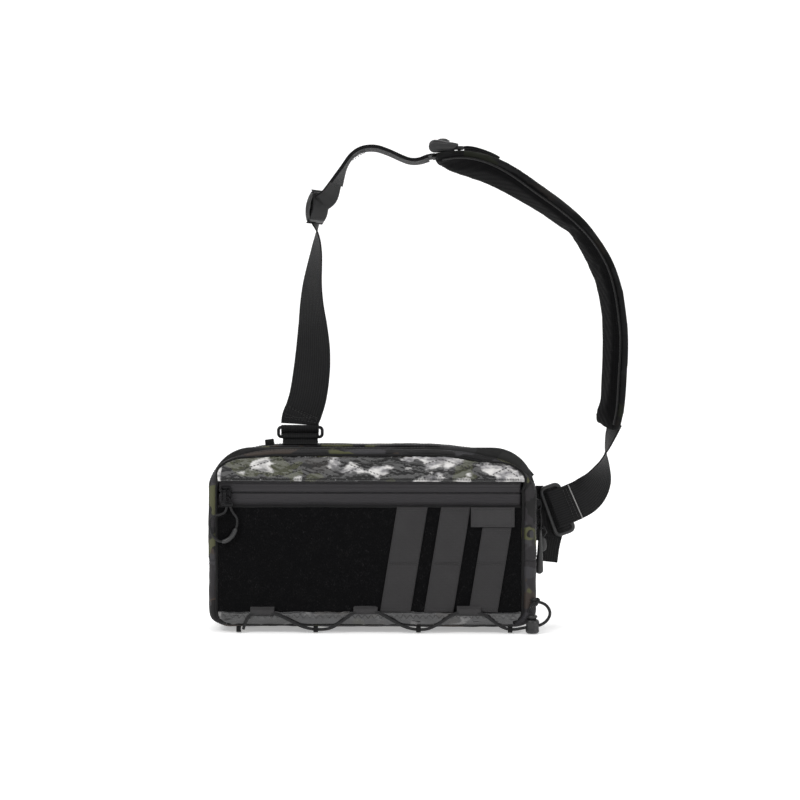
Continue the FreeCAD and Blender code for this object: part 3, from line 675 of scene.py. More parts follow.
@dataclass(frozen=True)
class Camouflage(Finish):
    """Printed nylon cloth, or the same print under a clear film, with painted highlights, when
    glossy.
    """

    title: str = "camouflage nylon"
    glossy: bool = False
    # glare: how strongly pale highlights are painted into the film's colour
    glare: float = 0.0
    shift: float = 0.0
    base: str = "2a282a"
    brown: str = "40362f"
    grey: str = "3b3a3d"
    olive: str = "55563a"
    black: str = "151415"
    threads: float = 1500.0
    specular: float = 0.25

    def build(self, g: Graph, shader: bpy.types.Node) -> None:
        """Printed patches, a plain weave, lint and, under film, a wrinkled coat with painted
        highlights.
        """
        place = g.place()
        cloth = g.cloth()
        moved = g.node("ShaderNodeMapping", Vector=place)
        moved.inputs["Location"].default_value = (self.shift, 0.0, 0.0)
        camo = use(g, Effects.camouflage(), Vector=moved.outputs[0], Base=paint(self.base),
                   Brown=paint(self.brown), Grey=paint(self.grey), Olive=paint(self.olive),
                   Black=paint(self.black))
        lint = use(g, Effects.lint(), Vector=place, Amount=0.35)
        weave = use(g, Effects.plain_weave(), Vector=cloth, Threads=self.threads)
        colour = g.mix(g.times(weave.outputs[0], 0.35), camo.outputs[0], paint(self.black))
        colour = g.mix(lint.outputs["Specks"], colour, paint("77736c"))
        g.feed(shader.inputs["Base Color"], colour)
        if self.glossy:
            shader.inputs["Coat Weight"].default_value = 1.0
            shader.inputs["Coat Roughness"].default_value = 0.05
            crease = g.noise(place, 95.0, 5.0, (1.0, 1.0, 1.6), 5.0)
            bubbles = g.noise(place, 900.0, 3.0)
            # under film the base colour also gets painted highlights over the print
            g.feed(shader.inputs["Base Color"], self.painted_glare(g, place, colour, crease))
            g.feed(shader.inputs["Roughness"], g.window(crease, 0.3, 0.7, 0.10, 0.34))
            height = g.plus(g.times(crease, 0.8), g.times(bubbles, 0.05))
            relief(g, shader, height, 0.4, 0.0012)
            return
        soft_surface(shader, self.specular, self.specular * 0.12)
        g.feed(shader.inputs["Roughness"], g.window(lint.outputs["Marks"], 0.0, 1.0, 0.66, 0.8))
        relief(g, shader, weave.outputs[0], 0.35, 0.00025)

    def painted_glare(self, g: Graph, place: object, colour: object,
                crease: object) -> bpy.types.NodeSocket:
        """Painted highlights: ragged pale patches for the glare on the film, more to the right and
        the top.
        """
        parts = g.node("ShaderNodeSeparateXYZ", Vector=place)
        across, up = parts.outputs[0], parts.outputs[2]
        # painted highlights: these noises and windows place the pale glare mixed into the film's
        # colour
        broad = g.noise(place, 32.0, 5.0, (0.9, 1.0, 1.6), 6.3)
        glare_breakup = g.noise(place, 120.0, 4.0, (0.6, 1.0, 1.3), 2.7)
        level = g.plus(broad, g.window(across, -0.12, 0.14, -0.035, 0.05))
        level = g.plus(level, g.window(up, 0.155, 0.174, -0.03, 0.03))
        level = g.plus(level, g.window(across, -0.1475, -0.1515, 0.0, 0.3))
        level = g.plus(level, g.window(crease, 0.3, 0.7, -0.05, 0.05))
        mask = g.times(g.window(level, 0.515, 0.60), g.window(glare_breakup, 0.32, 0.55, 0.55, 1.0))
        pale = g.mix(g.window(glare_breakup, 0.35, 0.65), paint("8a888c"), paint("dcdad8"))
        return g.mix(g.times(mask, self.glare), colour, pale)


@dataclass(frozen=True)
class Webbing(Finish):
    """Woven nylon tape."""

    title: str = "strap webbing"
    colour: str = "1d1d1e"
    shade: str = "0b0b0c"
    columns: float = 420.0
    ribs: float = 620.0
    lift: float = 0.00045

    def build(self, g: Graph, shader: bpy.types.Node) -> None:
        """Leaning ribs in narrow columns, darker between them, with a soft sheen."""
        cloth = g.cloth()
        place = g.place()
        weave = use(g, Effects.webbing_weave(), Vector=cloth, Columns=self.columns, Ribs=self.ribs)
        lint = use(g, Effects.lint(), Vector=place, Amount=0.25)
        colour = g.mix(g.window(weave.outputs[0], 0.1, 0.9), paint(self.shade), paint(self.colour))
        colour = g.mix(g.times(lint.outputs["Marks"], 0.25), colour, paint(self.shade))
        colour = g.mix(lint.outputs["Specks"], colour, paint("6d6b69"))
        g.feed(shader.inputs["Base Color"], colour)
        g.feed(shader.inputs["Roughness"], g.window(weave.outputs[0], 0.0, 1.0, 0.75, 0.52))
        soft_surface(shader, 0.15, 0.02)
        relief(g, shader, weave.outputs[0], 0.6, self.lift)


@dataclass(frozen=True)
class LoopPile(Finish):
    """The soft half of hook-and-loop tape: a mat of tiny raised loops."""

    title: str = "loop pile"

    def build(self, g: Graph, shader: bpy.types.Node) -> None:
        """Cells of two sizes for the loops, with their tops a little paler."""
        place = g.place()
        tuft = g.node("ShaderNodeTexVoronoi", Vector=place, Scale=820.0)
        fibre = g.noise(place, 1500.0, 4.0, (1.0, 1.0, 0.45), 1.0)
        clump = g.noise(place, 210.0, 4.0)
        height = g.plus(g.times(tuft.outputs["Distance"], -0.7), g.times(fibre, 0.8))
        bright = g.times(g.window(fibre, 0.52, 0.74), g.window(clump, 0.42, 0.66, 0.25, 1.0))
        colour = g.mix(bright, paint("080809"), paint("262526"))
        lint = use(g, Effects.lint(), Vector=place, Amount=0.22)
        g.feed(shader.inputs["Base Color"], g.mix(lint.outputs["Specks"], colour, paint("615f60")))
        shader.inputs["Roughness"].default_value = 0.95
        soft_surface(shader, 0.06, 0.01)
        relief(g, shader, height, 0.9, 0.0007)


@dataclass(frozen=True)
class CoatedTape(Finish):
    """Smooth film-coated zip tape with a rubbery half gloss."""

    title: str = "coated zip tape"
    colour: str = "1e1c1f"

    def build(self, g: Graph, shader: bpy.types.Node) -> None:
        """An almost smooth film with faint ribs along the tape and cloudy gloss."""
        place = g.place()
        cloud = g.noise(place, 120.0, 4.0, (0.35, 1.0, 1.0), 2.0)
        ribs = g.noise(place, 700.0, 2.0, (0.04, 1.0, 1.0), 1.0)
        grain = g.noise(place, 3000.0, 2.0)
        g.feed(shader.inputs["Base Color"], g.mix(cloud, paint(self.colour), paint("262427")))
        g.feed(shader.inputs["Roughness"], g.window(cloud, 0.2, 0.8, 0.42, 0.6))
        shader.inputs["Specular IOR Level"].default_value = 0.35
        height = g.plus(g.times(ribs, 0.6), g.times(grain, 0.25))
        relief(g, shader, height, 0.3, 0.0004)


@dataclass(frozen=True)
class SpacerMesh(Finish):
    """Air mesh: diamond holes in rows, over a darker layer."""

    title: str = "spacer mesh"
    colour: str = "232324"
    pitch: float = 300.0

    def build(self, g: Graph, shader: bpy.types.Node) -> None:
        """Two crossing leaning waves: where both are high there is a hole."""
        cloth = g.cloth()
        place = g.place()
        parts = g.node("ShaderNodeSeparateXYZ", Vector=cloth)
        u, v = parts.outputs[0], parts.outputs[1]
        first = g.math("SINE", g.times(g.plus(g.times(u, 0.75), v), 2 * math.pi * self.pitch))
        second = g.math("SINE",
                        g.times(g.math("SUBTRACT", g.times(u, 0.75), v), 2 * math.pi * self.pitch))
        hole = g.window(g.times(first, second), 0.15, 0.6)
        rib = g.math("SINE", g.times(g.plus(g.times(u, 0.9), v), 2 * math.pi * 85.0))
        lint = use(g, Effects.lint(), Vector=place, Amount=0.2)
        colour = g.mix(hole, paint(self.colour), paint("060606"))
        colour = g.mix(g.window(rib, -0.2, 1.0, 0.0, 0.35), colour, paint("0d0d0e"))
        g.feed(shader.inputs["Base Color"], g.mix(lint.outputs["Specks"], colour, paint("5d5b5a")))
        shader.inputs["Roughness"].default_value = 0.85
        soft_surface(shader, 0.05, 0.004)
        height = g.math("SUBTRACT", g.times(rib, 0.4), hole)
        relief(g, shader, height, 0.7, 0.0006)


@dataclass(frozen=True)
class Moulded(Finish):
    """Acetal or nylon mouldings, and dark painted metal when metallic."""

    title: str = "moulded plastic"
    colour: str = "1c1c1d"
    rough: float = 0.42
    metallic: float = 0.0

    def build(self, g: Graph, shader: bpy.types.Node) -> None:
        """Fine grain, slightly paler and smoother where it is rubbed."""
        place = g.place()
        grain = use(g, Effects.moulded_grain(), Vector=place)
        g.feed(shader.inputs["Base Color"],
               g.mix(g.times(grain.outputs["Rubbed"], 0.5), paint(self.colour),
                                                  paint("3a3a3b")))
        g.feed(shader.inputs["Roughness"],
               g.window(grain.outputs["Rubbed"], 0.0, 1.0, self.rough, self.rough - 0.12))
        shader.inputs["Metallic"].default_value = self.metallic
        relief(g, shader, grain.outputs["Height"], 0.25, 0.0002)


@dataclass(frozen=True)
class Braid(Finish):
    """The braided cover of elastic cord: two sets of strands that cross as they wind round."""

    title: str = "braided cord"
    colour: str = "1d1d1e"

    def build(self, g: Graph, shader: bpy.types.Node) -> None:
        """Noise stretched in two leaning directions stands for the crossing strands."""
        place = g.place()
        first = g.node("ShaderNodeTexWave", Vector=place, Scale=330.0, Distortion=1.5,
                       wave_type="BANDS", bands_direction="DIAGONAL")
        turned = g.node("ShaderNodeMapping", Vector=place)
        turned.inputs["Rotation"].default_value = (0.0, 1.57, 0.0)
        second = g.node("ShaderNodeTexWave", Vector=turned.outputs[0], Scale=330.0, Distortion=1.5,
                        wave_type="BANDS", bands_direction="DIAGONAL")
        height = g.math("MAXIMUM", first.outputs["Fac"], second.outputs["Fac"])
        g.feed(shader.inputs["Base Color"], g.mix(height, paint("0a0a0a"), paint(self.colour)))
        shader.inputs["Roughness"].default_value = 0.6
        soft_surface(shader, 0.3, 0.02)
        relief(g, shader, height, 0.7, 0.0004)


@dataclass(frozen=True)
class Thread(Finish):
    """Bonded sewing thread."""

    title: str = "black thread"
    colour: str = "0c0c0c"

    def build(self, g: Graph, shader: bpy.types.Node) -> None:
        """A dark colour that changes a little from stitch to stitch."""
        place = g.place()
        cloud = g.noise(place, 400.0, 2.0)
        g.feed(shader.inputs["Base Color"],
               g.mix(g.times(cloud, 0.5), paint(self.colour), paint("2a2a2a")))
        shader.inputs["Roughness"].default_value = 0.5


# ------------------------------------------------------------------ the object's sizes


@dataclass(frozen=True)
class BagSize:
    """The outline that the whole body is built from."""

    half_width: float = 163.0
    height: float = 186.0
    half_depth: float = 38.0
    bottom_radius: float = 22.0
    hinge: float = 72.0
    bevel: float = 10.0
    face_inset: float = 8.4
    sag: float = 3.4
    field_left: float = -153.2
    field_right: float = 147.8
    field_low: float = 8.6
    loop_low: float = 20.0
    left_corner: tuple[float, float] = (75.0, 42.0)
    right_corner: tuple[float, float] = (110.0, 48.0)
    window_low: float = 126.0
    window_high: float = 152.0
    field_high: float = 175.6
    zip_edge: float = 11.0
    front: float = -38.0

    def outline(self, upper: bool, count: int) -> tuple[Array, Array]:
        """Half of the rounded outline from hinge to hinge, as places (x, z) and outward directions.

        Args:
            upper: over the top, left to right; otherwise under the base, right to left.
            count: how many points.

        Returns:
            Two arrays of that many rows.
        """
        sign = 1.0 if upper else -1.0
        edge = self.height if upper else 0.0
        start = -sign * self.half_width
        turn = np.linspace(0.0, math.pi / 2, 30)
        sides = []
        for side in (start, -start):
            wide, tall = self.corner(side, upper)
            sides.append(np.stack([side - np.sign(side) * wide * (1 - np.cos(turn)),
                                   edge - sign * tall * (1 - np.sin(turn))], axis=-1))
        line = np.concatenate([[[start, self.hinge]], sides[0], sides[1][::-1],
                               [[-start, self.hinge]]])
        walked = lengths_along(line)
        even = np.linspace(0.0, walked[-1], count)
        places = sampled(line, walked, even)
        if upper:
            places[:, 1] -= self.sag * smooth_step(places[:, 1], 168.0, 184.0)
        tangent = np.gradient(places, axis=0)
        outward = unit(np.stack([-tangent[:, 1], tangent[:, 0]], axis=-1))
        return places, outward

    def corner(self, side: float, upper: bool) -> tuple[float, float]:
        """How wide and how tall the soft elliptical corner at one side is."""
        if not upper:
            return self.bottom_radius, self.bottom_radius
        return self.right_corner if side > 0 else self.left_corner

    def margin(self, places: Array) -> Array:
        """Share of the full inset round a face: wide at the right, slim at both top corners."""
        x, z = places[:, 0], places[:, 1]
        left = smooth_step(-x, 105.0, 137.0) * smooth_step(z, 152.0, 166.0)
        right = smooth_step(x, 100.0, 140.0) * smooth_step(z, 148.0, 163.0)
        side = smooth_step(x, 120.0, 158.0) * (1.0 - smooth_step(z, 146.0, 158.0))
        top = self.sag / self.face_inset * smooth_step(z, 168.0, 181.0)
        return (1.0 - top) * (1.0 - 0.9 * left) * (1.0 - 0.95 * right) + 0.6 * side

    def moved_in(self, upper: bool, count: int, inset: float) -> Array:
        """Half of the outline, moved in by an inset that narrows with the margin."""
        places, outward = self.outline(upper, count)
        return places - outward * (self.face_inset * self.margin(places) + inset
                                   - self.face_inset)[:, None]

    def inset(self, depth: Array) -> Array:
        """How far the skin lies inside the outline at a depth: a quarter round at each face."""
        past = np.clip((np.abs(depth) - (self.half_depth - self.bevel)) / self.bevel, 0.0, 1.0)
        return self.face_inset * (1.0 - np.sqrt(np.maximum(0.0, 1.0 - past ** 2.2)))

    def skin(self, upper: bool, low: float, high: float, rows: int, columns: int, sink: float = 0.0,
             seed: int = 1, slack: float = 0.8) -> tuple[Array, Array]:
        """A band of the bag's skin between two depths: places and outward directions.

        The band is the outline pushed out by a slow ripple, by a small swell along its middle,
        and in by `inset` where it rolls over to a face.
        """
        places, outward = self.outline(upper, rows)
        depth = np.linspace(low, high, columns)
        flat, out = xyz(places[:, 0], 0.0, places[:, 1]), xyz(outward[:, 0], 0.0, outward[:, 1])
        points = np.broadcast_to(flat[:, None, :], (rows, columns, 3)).copy()
        points[:, :, 1] = depth[None, :]
        pucker = (ripple(points, 70.0, seed) * slack * 0.6
                  + ripple(points, 17.0, seed + 1) * slack * 0.25)
        shift = pucker - self.margin(places)[:, None] * self.inset(depth)[None, :] - sink
        points = points + out[:, None, :] * shift[..., None]
        return points, np.broadcast_to(out[:, None, :], points.shape)

    def face_sides(self, height: Array, inset: float) -> tuple[Array, Array]:
        """Left and right limits of a face area at a height, for an outline moved in by an inset."""
        upper, lower = self.moved_in(True, 400, inset), self.moved_in(False, 400, inset)
        limits = []
        for side in (-1.0, 1.0):
            half = np.concatenate([lower[side * lower[:, 0] > 139.0],
                                   upper[side * upper[:, 0] > 60.0]])
            half = half[np.argsort(half[:, 1], kind="stable")]
            limits.append(np.interp(height, half[:, 1], half[:, 0]))
        return limits[0], limits[1]

    def face_span(self, height: Array, inset: float, share: Array) -> Array:
        """Places across a face: share runs from -1 at the left limit to 1 at the right."""
        left, right = self.face_sides(height, inset)
        middle, half = (left + right) / 2, (right - left) / 2
        return middle[:, None] + half[:, None] * share[None, :]

    def ring(self, inset: float, depth: float, count: int) -> Array:
        """The closed outline moved in by an inset, at one depth, as a closed path."""
        flat = np.concatenate([self.moved_in(True, count, inset),
                               self.moved_in(False, count, inset)[1:-1]])
        return xyz(flat[:, 0], depth, flat[:, 1])

    def crown(self, x: Array, z: Array) -> Array:
        """How far the front stands forward: a low swell that fades out at its edges and the zip."""
        middle = (self.field_left + self.field_right) / 2
        half = (self.field_right - self.field_left) / 2
        across = np.clip(1.0 - ((x - middle) / half) ** 2, 0.0, 1.0)
        low = np.clip((z - self.field_low) / (self.window_low - self.field_low), 0.0, 1.0)
        return 2.0 * across ** 0.6 * np.sin(math.pi * low) ** 0.8


BAG = BagSize()
HINGE_BLEND = ((0.0, -0.0408, 0.066), (0.0, -0.0408, 0.078))
GUSSET_BLEND = ((0.0, -0.0408, 0.072), (0.0, -0.0408, 0.084))


def stand_in(made: bpy.types.Object, nodes: Sequence[str],
             note: str) -> bpy.types.Object:
    """Hides the nodes that a piece stands for, and reports the piece."""
    if nodes:
        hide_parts(*nodes)
    LOG.info("%s %s", made.name, note)
    return made


def ride(made: bpy.types.Object, body: Body, *nodes: str, slot: str = "") -> bpy.types.Object:
    """Sets a piece on a body, for the nodes that it stands for."""
    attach(made, body.value)
    return stand_in(made, nodes, f"rides on {body.value}")


def cross_hinge(made: bpy.types.Object, span: tuple, *nodes: str,
                slot: str = "") -> bpy.types.Object:
    """Bakes a piece's placement into its mesh and hides the nodes that it stands for."""
    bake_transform(made)
    return stand_in(made, nodes, "bends at the front hinge")


CAMO = Camouflage()
# both film finishes have pale highlights painted into their colour; glare sets how much
CAMO_FILM = Camouflage(title="camouflage under film", glossy=True, glare=0.85, shift=0.075,
                       base="0e0d0f", brown="1f1b18", grey="1a191b", olive="3e402b",
                       black="060606")
BASE_FILM = Camouflage(title="grey camouflage under film", glossy=True, glare=0.16,
                       base="1c1c1e", brown="25211e", grey="28282a", olive="292920",
                       black="101011")
PAD_CAMO = Camouflage(title="pad camouflage", base="131314", brown="1a1715", grey="1a1a1b",
                      olive="1d1f18", black="0b0b0b", specular=0.08)
STRAP_WEB = Webbing()
STRIP_WEB = Webbing(title="grey strip webbing", colour="3c3b3c", shade="272627", columns=900.0,
                    ribs=640.0, lift=0.0003)
TAB_WEB = Webbing(title="tab webbing", colour="424142", shade="2c2b2c", columns=900.0, ribs=700.0,
                  lift=0.0003)
BINDING = Webbing(title="edge binding", colour="191919", shade="0b0b0c", columns=700.0, ribs=900.0,
                  lift=0.0003)
PILE = LoopPile()
ZIP_TAPE = CoatedTape()
MESH = SpacerMesh()
PAD_MESH = SpacerMesh(title="pad mesh", colour="0b0b0c", pitch=260.0)
PLASTIC = Moulded()
GREY_PLASTIC = Moulded(title="satin moulded plastic", colour="222223", rough=0.34)
ZIP_METAL = Moulded(title="black zip metal", colour="1b1b1c", rough=0.26, metallic=0.85)
RING_METAL = Moulded(title="painted wire", colour="17171a", rough=0.3, metallic=0.7)
CORD = Braid()
THREAD = Thread()
GREY_THREAD = Thread(title="grey thread", colour="2f2e2f")
# a pale strip painted as the highlight along the right fold's edge
PAINTED_EDGE_HIGHLIGHT = Thread(title="painted edge highlight", colour="8e8d8c")
LINING = Camouflage(title="lining cloth", base="242425", brown="262626", grey="2b2b2c",
                    olive="252524", black="1c1c1c", threads=1300.0)


# ------------------------------------------------------------------ the bag's body


@dataclass
class BagBody:
    """Base and top gussets, panels, bindings and the padded back."""

    size: BagSize = BAG
    cloth: float = 2.0
    rows: int = 230

    def build(self) -> None:
        """Makes the skin, its seams and the back."""
        self.base_gusset()
        self.top_gussets()
        self.panels()
        self.bindings()
        self.gusset_seams()
        self.back()

    def base_gusset(self) -> None:
        """The deep band under the base and up both sides to the hinge line."""
        points, out = self.size.skin(False, -self.size.half_depth, self.size.half_depth, self.rows,
                                     54, seed=11)
        under = 1.0 - smooth_step(points[..., 2], 0.0, 16.0)
        points[..., 2] += 4.8 * under * (1.0 - smooth_step(points[..., 1], -34.0, 34.0))
        ride(slab("base_gusset", points, out, self.cloth, CAMO), Body.BAG, "bottom_gusset",
             slot="camo_fabric")

    def top_gussets(self) -> None:
        """The two bands either side of the main zip."""
        depth, edge = self.size.half_depth, self.size.zip_edge
        front, out = self.size.skin(True, -depth, -edge, self.rows, 26, seed=21)
        made = slab("top_gusset_front", front, out, self.cloth, CAMO)
        cross_hinge(made, GUSSET_BLEND, "front_zip_gusset", slot="camo_fabric")
        rear, out = self.size.skin(True, edge, depth, self.rows, 26, seed=31)
        ride(slab("top_gusset_rear", rear, out, self.cloth, CAMO), Body.BAG, "rear_zip_gusset",
             slot="camo_fabric")

    def face(self, low: float, high: float, inset: float, level: float, rows: int,
             columns: int) -> Array:
        """A piece of the front face between two heights, following the rounded outline."""
        z = np.linspace(low, high, rows)
        x = self.size.face_span(z, inset, np.linspace(-1.0, 1.0, columns))
        height = np.broadcast_to(z[:, None], x.shape)
        return xyz(x, level - self.size.crown(x, height), height)

    def panels(self) -> None:
        """The cloth under the field, below and above the pocket zip."""
        size = self.size
        edge = size.face_inset
        points = self.face(edge + 0.1, size.window_low, edge, size.front, 60, 90)
        made = slab("front_panel", points, FRONT, 1.9, CAMO)
        cross_hinge(made, HINGE_BLEND, "front_panel_lower", "pocket_front", slot="camo_fabric")
        points = self.face(size.window_high, size.height - edge - 0.1, edge, size.front, 40, 120)
        ride(slab("front_panel_top_cloth", points, FRONT, 1.9, CAMO), Body.FLAP, "front_panel_top",
             slot="camo_fabric")

    def bindings(self) -> None:
        """A folded tape over each face seam: a flattened ring carried round the outline."""
        front = self.size.ring(self.size.face_inset + 0.3, self.size.front - 0.5, 210)
        made = self.piped("front_binding", front, -1.0)
        cross_hinge(made, HINGE_BLEND, "front_binding_lower", "front_binding_upper", slot="webbing")
        rear = self.size.ring(self.size.face_inset + 0.3, self.size.half_depth + 0.6, 210)
        ride(self.piped("rear_binding_tape", rear, 1.0), Body.BAG, "rear_binding", slot="webbing")

    def piped(self, name: str, path: Array, facing: float) -> bpy.types.Object:
        """A narrow piped edge, gently wavy, on a closed path."""
        wander = ripple(path, 45.0, 41)[:, None] * 0.35
        tangent = tangents(path, closed=True)
        normal = np.broadcast_to([0.0, facing, 0.0], path.shape)
        across = np.cross(tangent, normal)
        section = superellipse(2.3, 2.0, 2.4, 14)
        made = carry(name, section, path + across * wander, across, normal, BINDING, closed=True)
        return made

    def gusset_seams(self) -> None:
        """Stitch lines beside the main zip, beside both bindings and across the hinge seams."""
        size = self.size
        for name, depth, blended in (("zip_seam_front", -13.4, True),
                                     ("zip_seam_rear", 13.4, False),
                                     ("edge_seam_front", -33.2, True),
                                     ("edge_seam_rear", 33.2, False)):
            points, out = size.skin(True, depth - 0.01, depth + 0.01, self.rows, 2,
                                    seed=31 if depth > 0 else 21)
            made = sewing(name, [points[:, 0] + out[:, 0] * 0.25], 3.0, 0.5, THREAD)
            if blended:
                cross_hinge(made, GUSSET_BLEND, slot="webbing")
            else:
                ride(made, Body.BAG, slot="webbing")
        lines = []
        for side in (-1, 1):
            depth = np.linspace(-32.0, 32.0, 40)
            for offset in (0.0, 3.0):
                x = np.full(40, side * (size.half_width + 0.35))
                lines.append(xyz(x, depth, size.hinge - 2.2 - offset))
        ride(sewing("side_seams", lines, 3.0, 0.5, THREAD), Body.BAG, slot="webbing")

    def back(self) -> None:
        """The padded back: mesh over foam, drawn down by two sewn channels and its edge seam.

        The height of the outer face is a swell that rises quickly from the edge, less a narrow
        valley along each channel.
        """
        size = self.size
        rows, columns = 96, 150
        low, high = size.face_inset + 0.1, size.height - size.face_inset - 0.1
        z = np.linspace(low, high, rows)
        x = size.face_span(z, size.face_inset, np.linspace(-1.0, 1.0, columns))
        height = np.broadcast_to(z[:, None], x.shape)
        beside = np.minimum(x - x[:, :1], x[:, -1:] - x)
        edge = np.minimum(beside, np.minimum(height - low, high - height))
        swell = 4.2 * (1.0 - np.exp(-np.clip(edge, 0.0, None) / 7.0))
        for channel in (-52.0, 52.0):
            swell = swell * (1.0 - 0.82 * np.exp(-((x - channel) / 4.2) ** 2))
        for level in (58.0, 128.0):
            middle = np.exp(-((height - level) / 4.0) ** 2) * (np.abs(x) < 52.0)
            swell = swell * (1.0 - 0.8 * middle)
        points = xyz(x, size.half_depth - 0.2 + swell, height)
        points[..., 1] += ripple(points, 40.0, 51) * 0.5 * np.clip(edge / 12.0, 0.0, 1.0)
        made = slab("padded_back", points, np.array([0.0, 1.0, 0.0]), 1.9, MESH)
        ride(made, Body.BAG, "back_panel", slot="pad_mesh")
        lines = []
        for channel in (-52.0, 52.0):
            level = np.linspace(14.0, 172.0, 60)
            lines.append(xyz(channel, size.half_depth + 0.9, level))
        for level in (58.0, 128.0):
            across = np.linspace(-49.0, 49.0, 40)
            lines.append(xyz(across, size.half_depth + 1.0, level))
        ride(sewing("back_channels", lines, 3.2, 0.55, THREAD), Body.BAG, slot="webbing")


# ------------------------------------------------------------------ the front field


@dataclass
class FrontField:
    """Loop panel, leaning strips, film-covered strips, tab and their stitching."""

    size: BagSize = BAG
    middles: tuple[float, ...] = (40.0, 83.0, 127.0)
    half_widths: tuple[float, ...] = (15.2, 14.6, 14.4)
    strip_tops: tuple[float, ...] = (126.0, 126.0, 106.4)
    lean: float = 0.162
    strip_low: float = 21.0
    tab: tuple[float, ...] = (97.8, 141.0, 106.2, 126.0)

    def build(self) -> None:
        """Makes the panel from the loop pile outwards."""
        self.loop_panel()
        self.strips()
        self.level_tab()
        self.base_strip()
        self.top_strip()

    def level(self, x: Array, z: Array, proud: float) -> Array:
        """Depth of a layer that stands `proud` of the front cloth."""
        return self.size.front - proud - self.size.crown(x, z)

    def loop_panel(self) -> None:
        """The pile field, with a soft uneven face, up to the zip."""
        z = np.linspace(self.size.loop_low - 0.6, self.size.window_low, 120)
        x = np.linspace(self.size.field_left, self.size.field_right, 300)
        grid_x, grid_z = np.meshgrid(x, z)
        points = xyz(grid_x, self.level(grid_x, grid_z, 1.2), grid_z)
        points[..., 1] -= ripple(points, 60.0, 61) * 0.3 + ripple(points, 9.0, 62) * 0.12
        made = slab("loop_field", points, FRONT, 1.2, PILE)
        cross_hinge(made, HINGE_BLEND, "loop_panel_lower", "loop_panel_upper", slot="loop_fabric")

    def centre(self, index: int, z: Array) -> Array:
        """The middle of a strip at a height: it leans by a fixed amount per millimetre down."""
        return self.middles[index] - self.lean * (self.size.window_low - z)

    def strips(self) -> None:
        """Three strips of webbing, sewn down at ends and middle, standing slightly between."""
        seams: list[Array] = []
        for index, (half, top) in enumerate(zip(self.half_widths, self.strip_tops)):
            z = np.linspace(self.strip_low, top, 80)
            share = np.linspace(-1.0, 1.0, 18)
            middle = self.centre(index, z)
            x = middle[:, None] + share[None, :] * half
            height = np.broadcast_to(z[:, None], x.shape)
            seam = self.size.hinge - 2.0
            low_part = np.clip((z - self.strip_low) / (seam - self.strip_low), 0.0, 1.0)
            high_part = np.clip((z - seam) / (top - seam), 0.0, 1.0)
            opened = np.sin(math.pi * low_part) + np.sin(math.pi * high_part)
            lift = opened[:, None] * (0.7 + 0.25 * np.cos(3.0 * share + index))[None, :]
            y = self.level(x, height, 2.45) - lift
            points = xyz(x, y, height)
            made = slab(f"leaning_strip_{index + 1}", points, FRONT, 1.35, STRIP_WEB)
            replaced = ("slant_webbing_lower", "slant_webbing_upper") if index == 0 else ()
            cross_hinge(made, HINGE_BLEND, *replaced, slot="grey_webbing")
            for level in (self.strip_low + 3.0, seam - 0.8, seam + 0.8, top - 3.2):
                centre = self.centre(index, np.array([level]))[0]
                across = np.linspace(centre + (-half + 0.8), centre + (half - 0.8), 14)
                flat = np.full(14, level)
                seams.append(xyz(across, self.level(across, flat, 2.6), flat))
        cross_hinge(sewing("strip_seams", seams, 2.2, 0.55, THREAD), HINGE_BLEND, slot="webbing")

    def level_tab(self) -> None:
        """The short level piece that covers the third strip's top."""
        left, right, low, high = self.tab
        x, z = np.meshgrid(np.linspace(left, right, 40), np.linspace(low, high, 20))
        points = xyz(x, self.level(x, z, 3.7), z)
        points[..., 1] -= ripple(points, 30.0, 63) * 0.25
        made = slab("level_tab", points, FRONT, 1.3, TAB_WEB)
        ride(made, Body.FLAP, "webbing_tab", slot="grey_webbing")
        border = np.array([[left + 2, low + 2], [right - 2, low + 2], [right - 2, high - 2],
                           [left + 2, high - 2], [left + 2, low + 2]])
        line = xyz(border[:, 0], self.level(border[:, 0], border[:, 1], 3.85), border[:, 1])
        ride(sewing("tab_seam", [line], 2.2, 0.5, THREAD), Body.FLAP, slot="webbing")

    def film(self, x: Array, z: Array, proud: float, depth: float, seed: int) -> Array:
        """A film-covered surface: creases at two scales, flatter at its edges."""
        points = xyz(x, self.level(x, z, proud), z)
        crease = 1.0 - np.abs(ripple(points * [0.6, 1.0, 1.3], 26.0, seed))
        fine = 1.0 - np.abs(ripple(points * [0.7, 1.0, 1.2], 9.0, seed + 1))
        points[..., 1] -= depth * (crease ** 2 * 0.85 + fine ** 2 * 0.15)
        return points

    def base_strip(self) -> None:
        """The narrow film strip along the base; its upper edge wanders."""
        columns, rows = 420, 14
        x = np.linspace(self.size.field_left, self.size.field_right, columns)
        track = xyz(x, 0.0, 0.0)
        top = (self.size.loop_low + 1.1 + 0.9 * ripple(track, 38.0, 71)
               + 0.4 * ripple(track, 11.0, 72))
        share = np.linspace(0.0, 1.0, rows)[:, None]
        z = (self.size.field_low - 0.3) + share * (top[None, :] - self.size.field_low + 0.3)
        limit = self.size.face_sides(z, self.size.face_inset + 1.2)
        grid_x = np.clip(np.broadcast_to(x, z.shape), limit[0], limit[1])
        points = self.film(grid_x, z, 1.5, 0.55, 73)
        made = slab("base_film_strip", points, FRONT, 1.3, BASE_FILM)
        ride(made, Body.BAG, "bottom_laminate", slot="clear_laminate")
        peak = np.arange(93)
        zig_x = self.size.field_left + 2.0 + peak * 3.2
        zig_z = np.where(peak % 2 == 0, 14.6, 18.4)
        line = xyz(zig_x, self.level(zig_x, zig_z, 2.2), zig_z)[zig_x < 144.0]
        starts, ends = line[:-1], line[1:]
        vertices, faces = stitch_row(starts, ends, 0.5)
        ride(piece("base_zigzag", vertices, faces, GREY_THREAD), Body.BAG, slot="webbing")

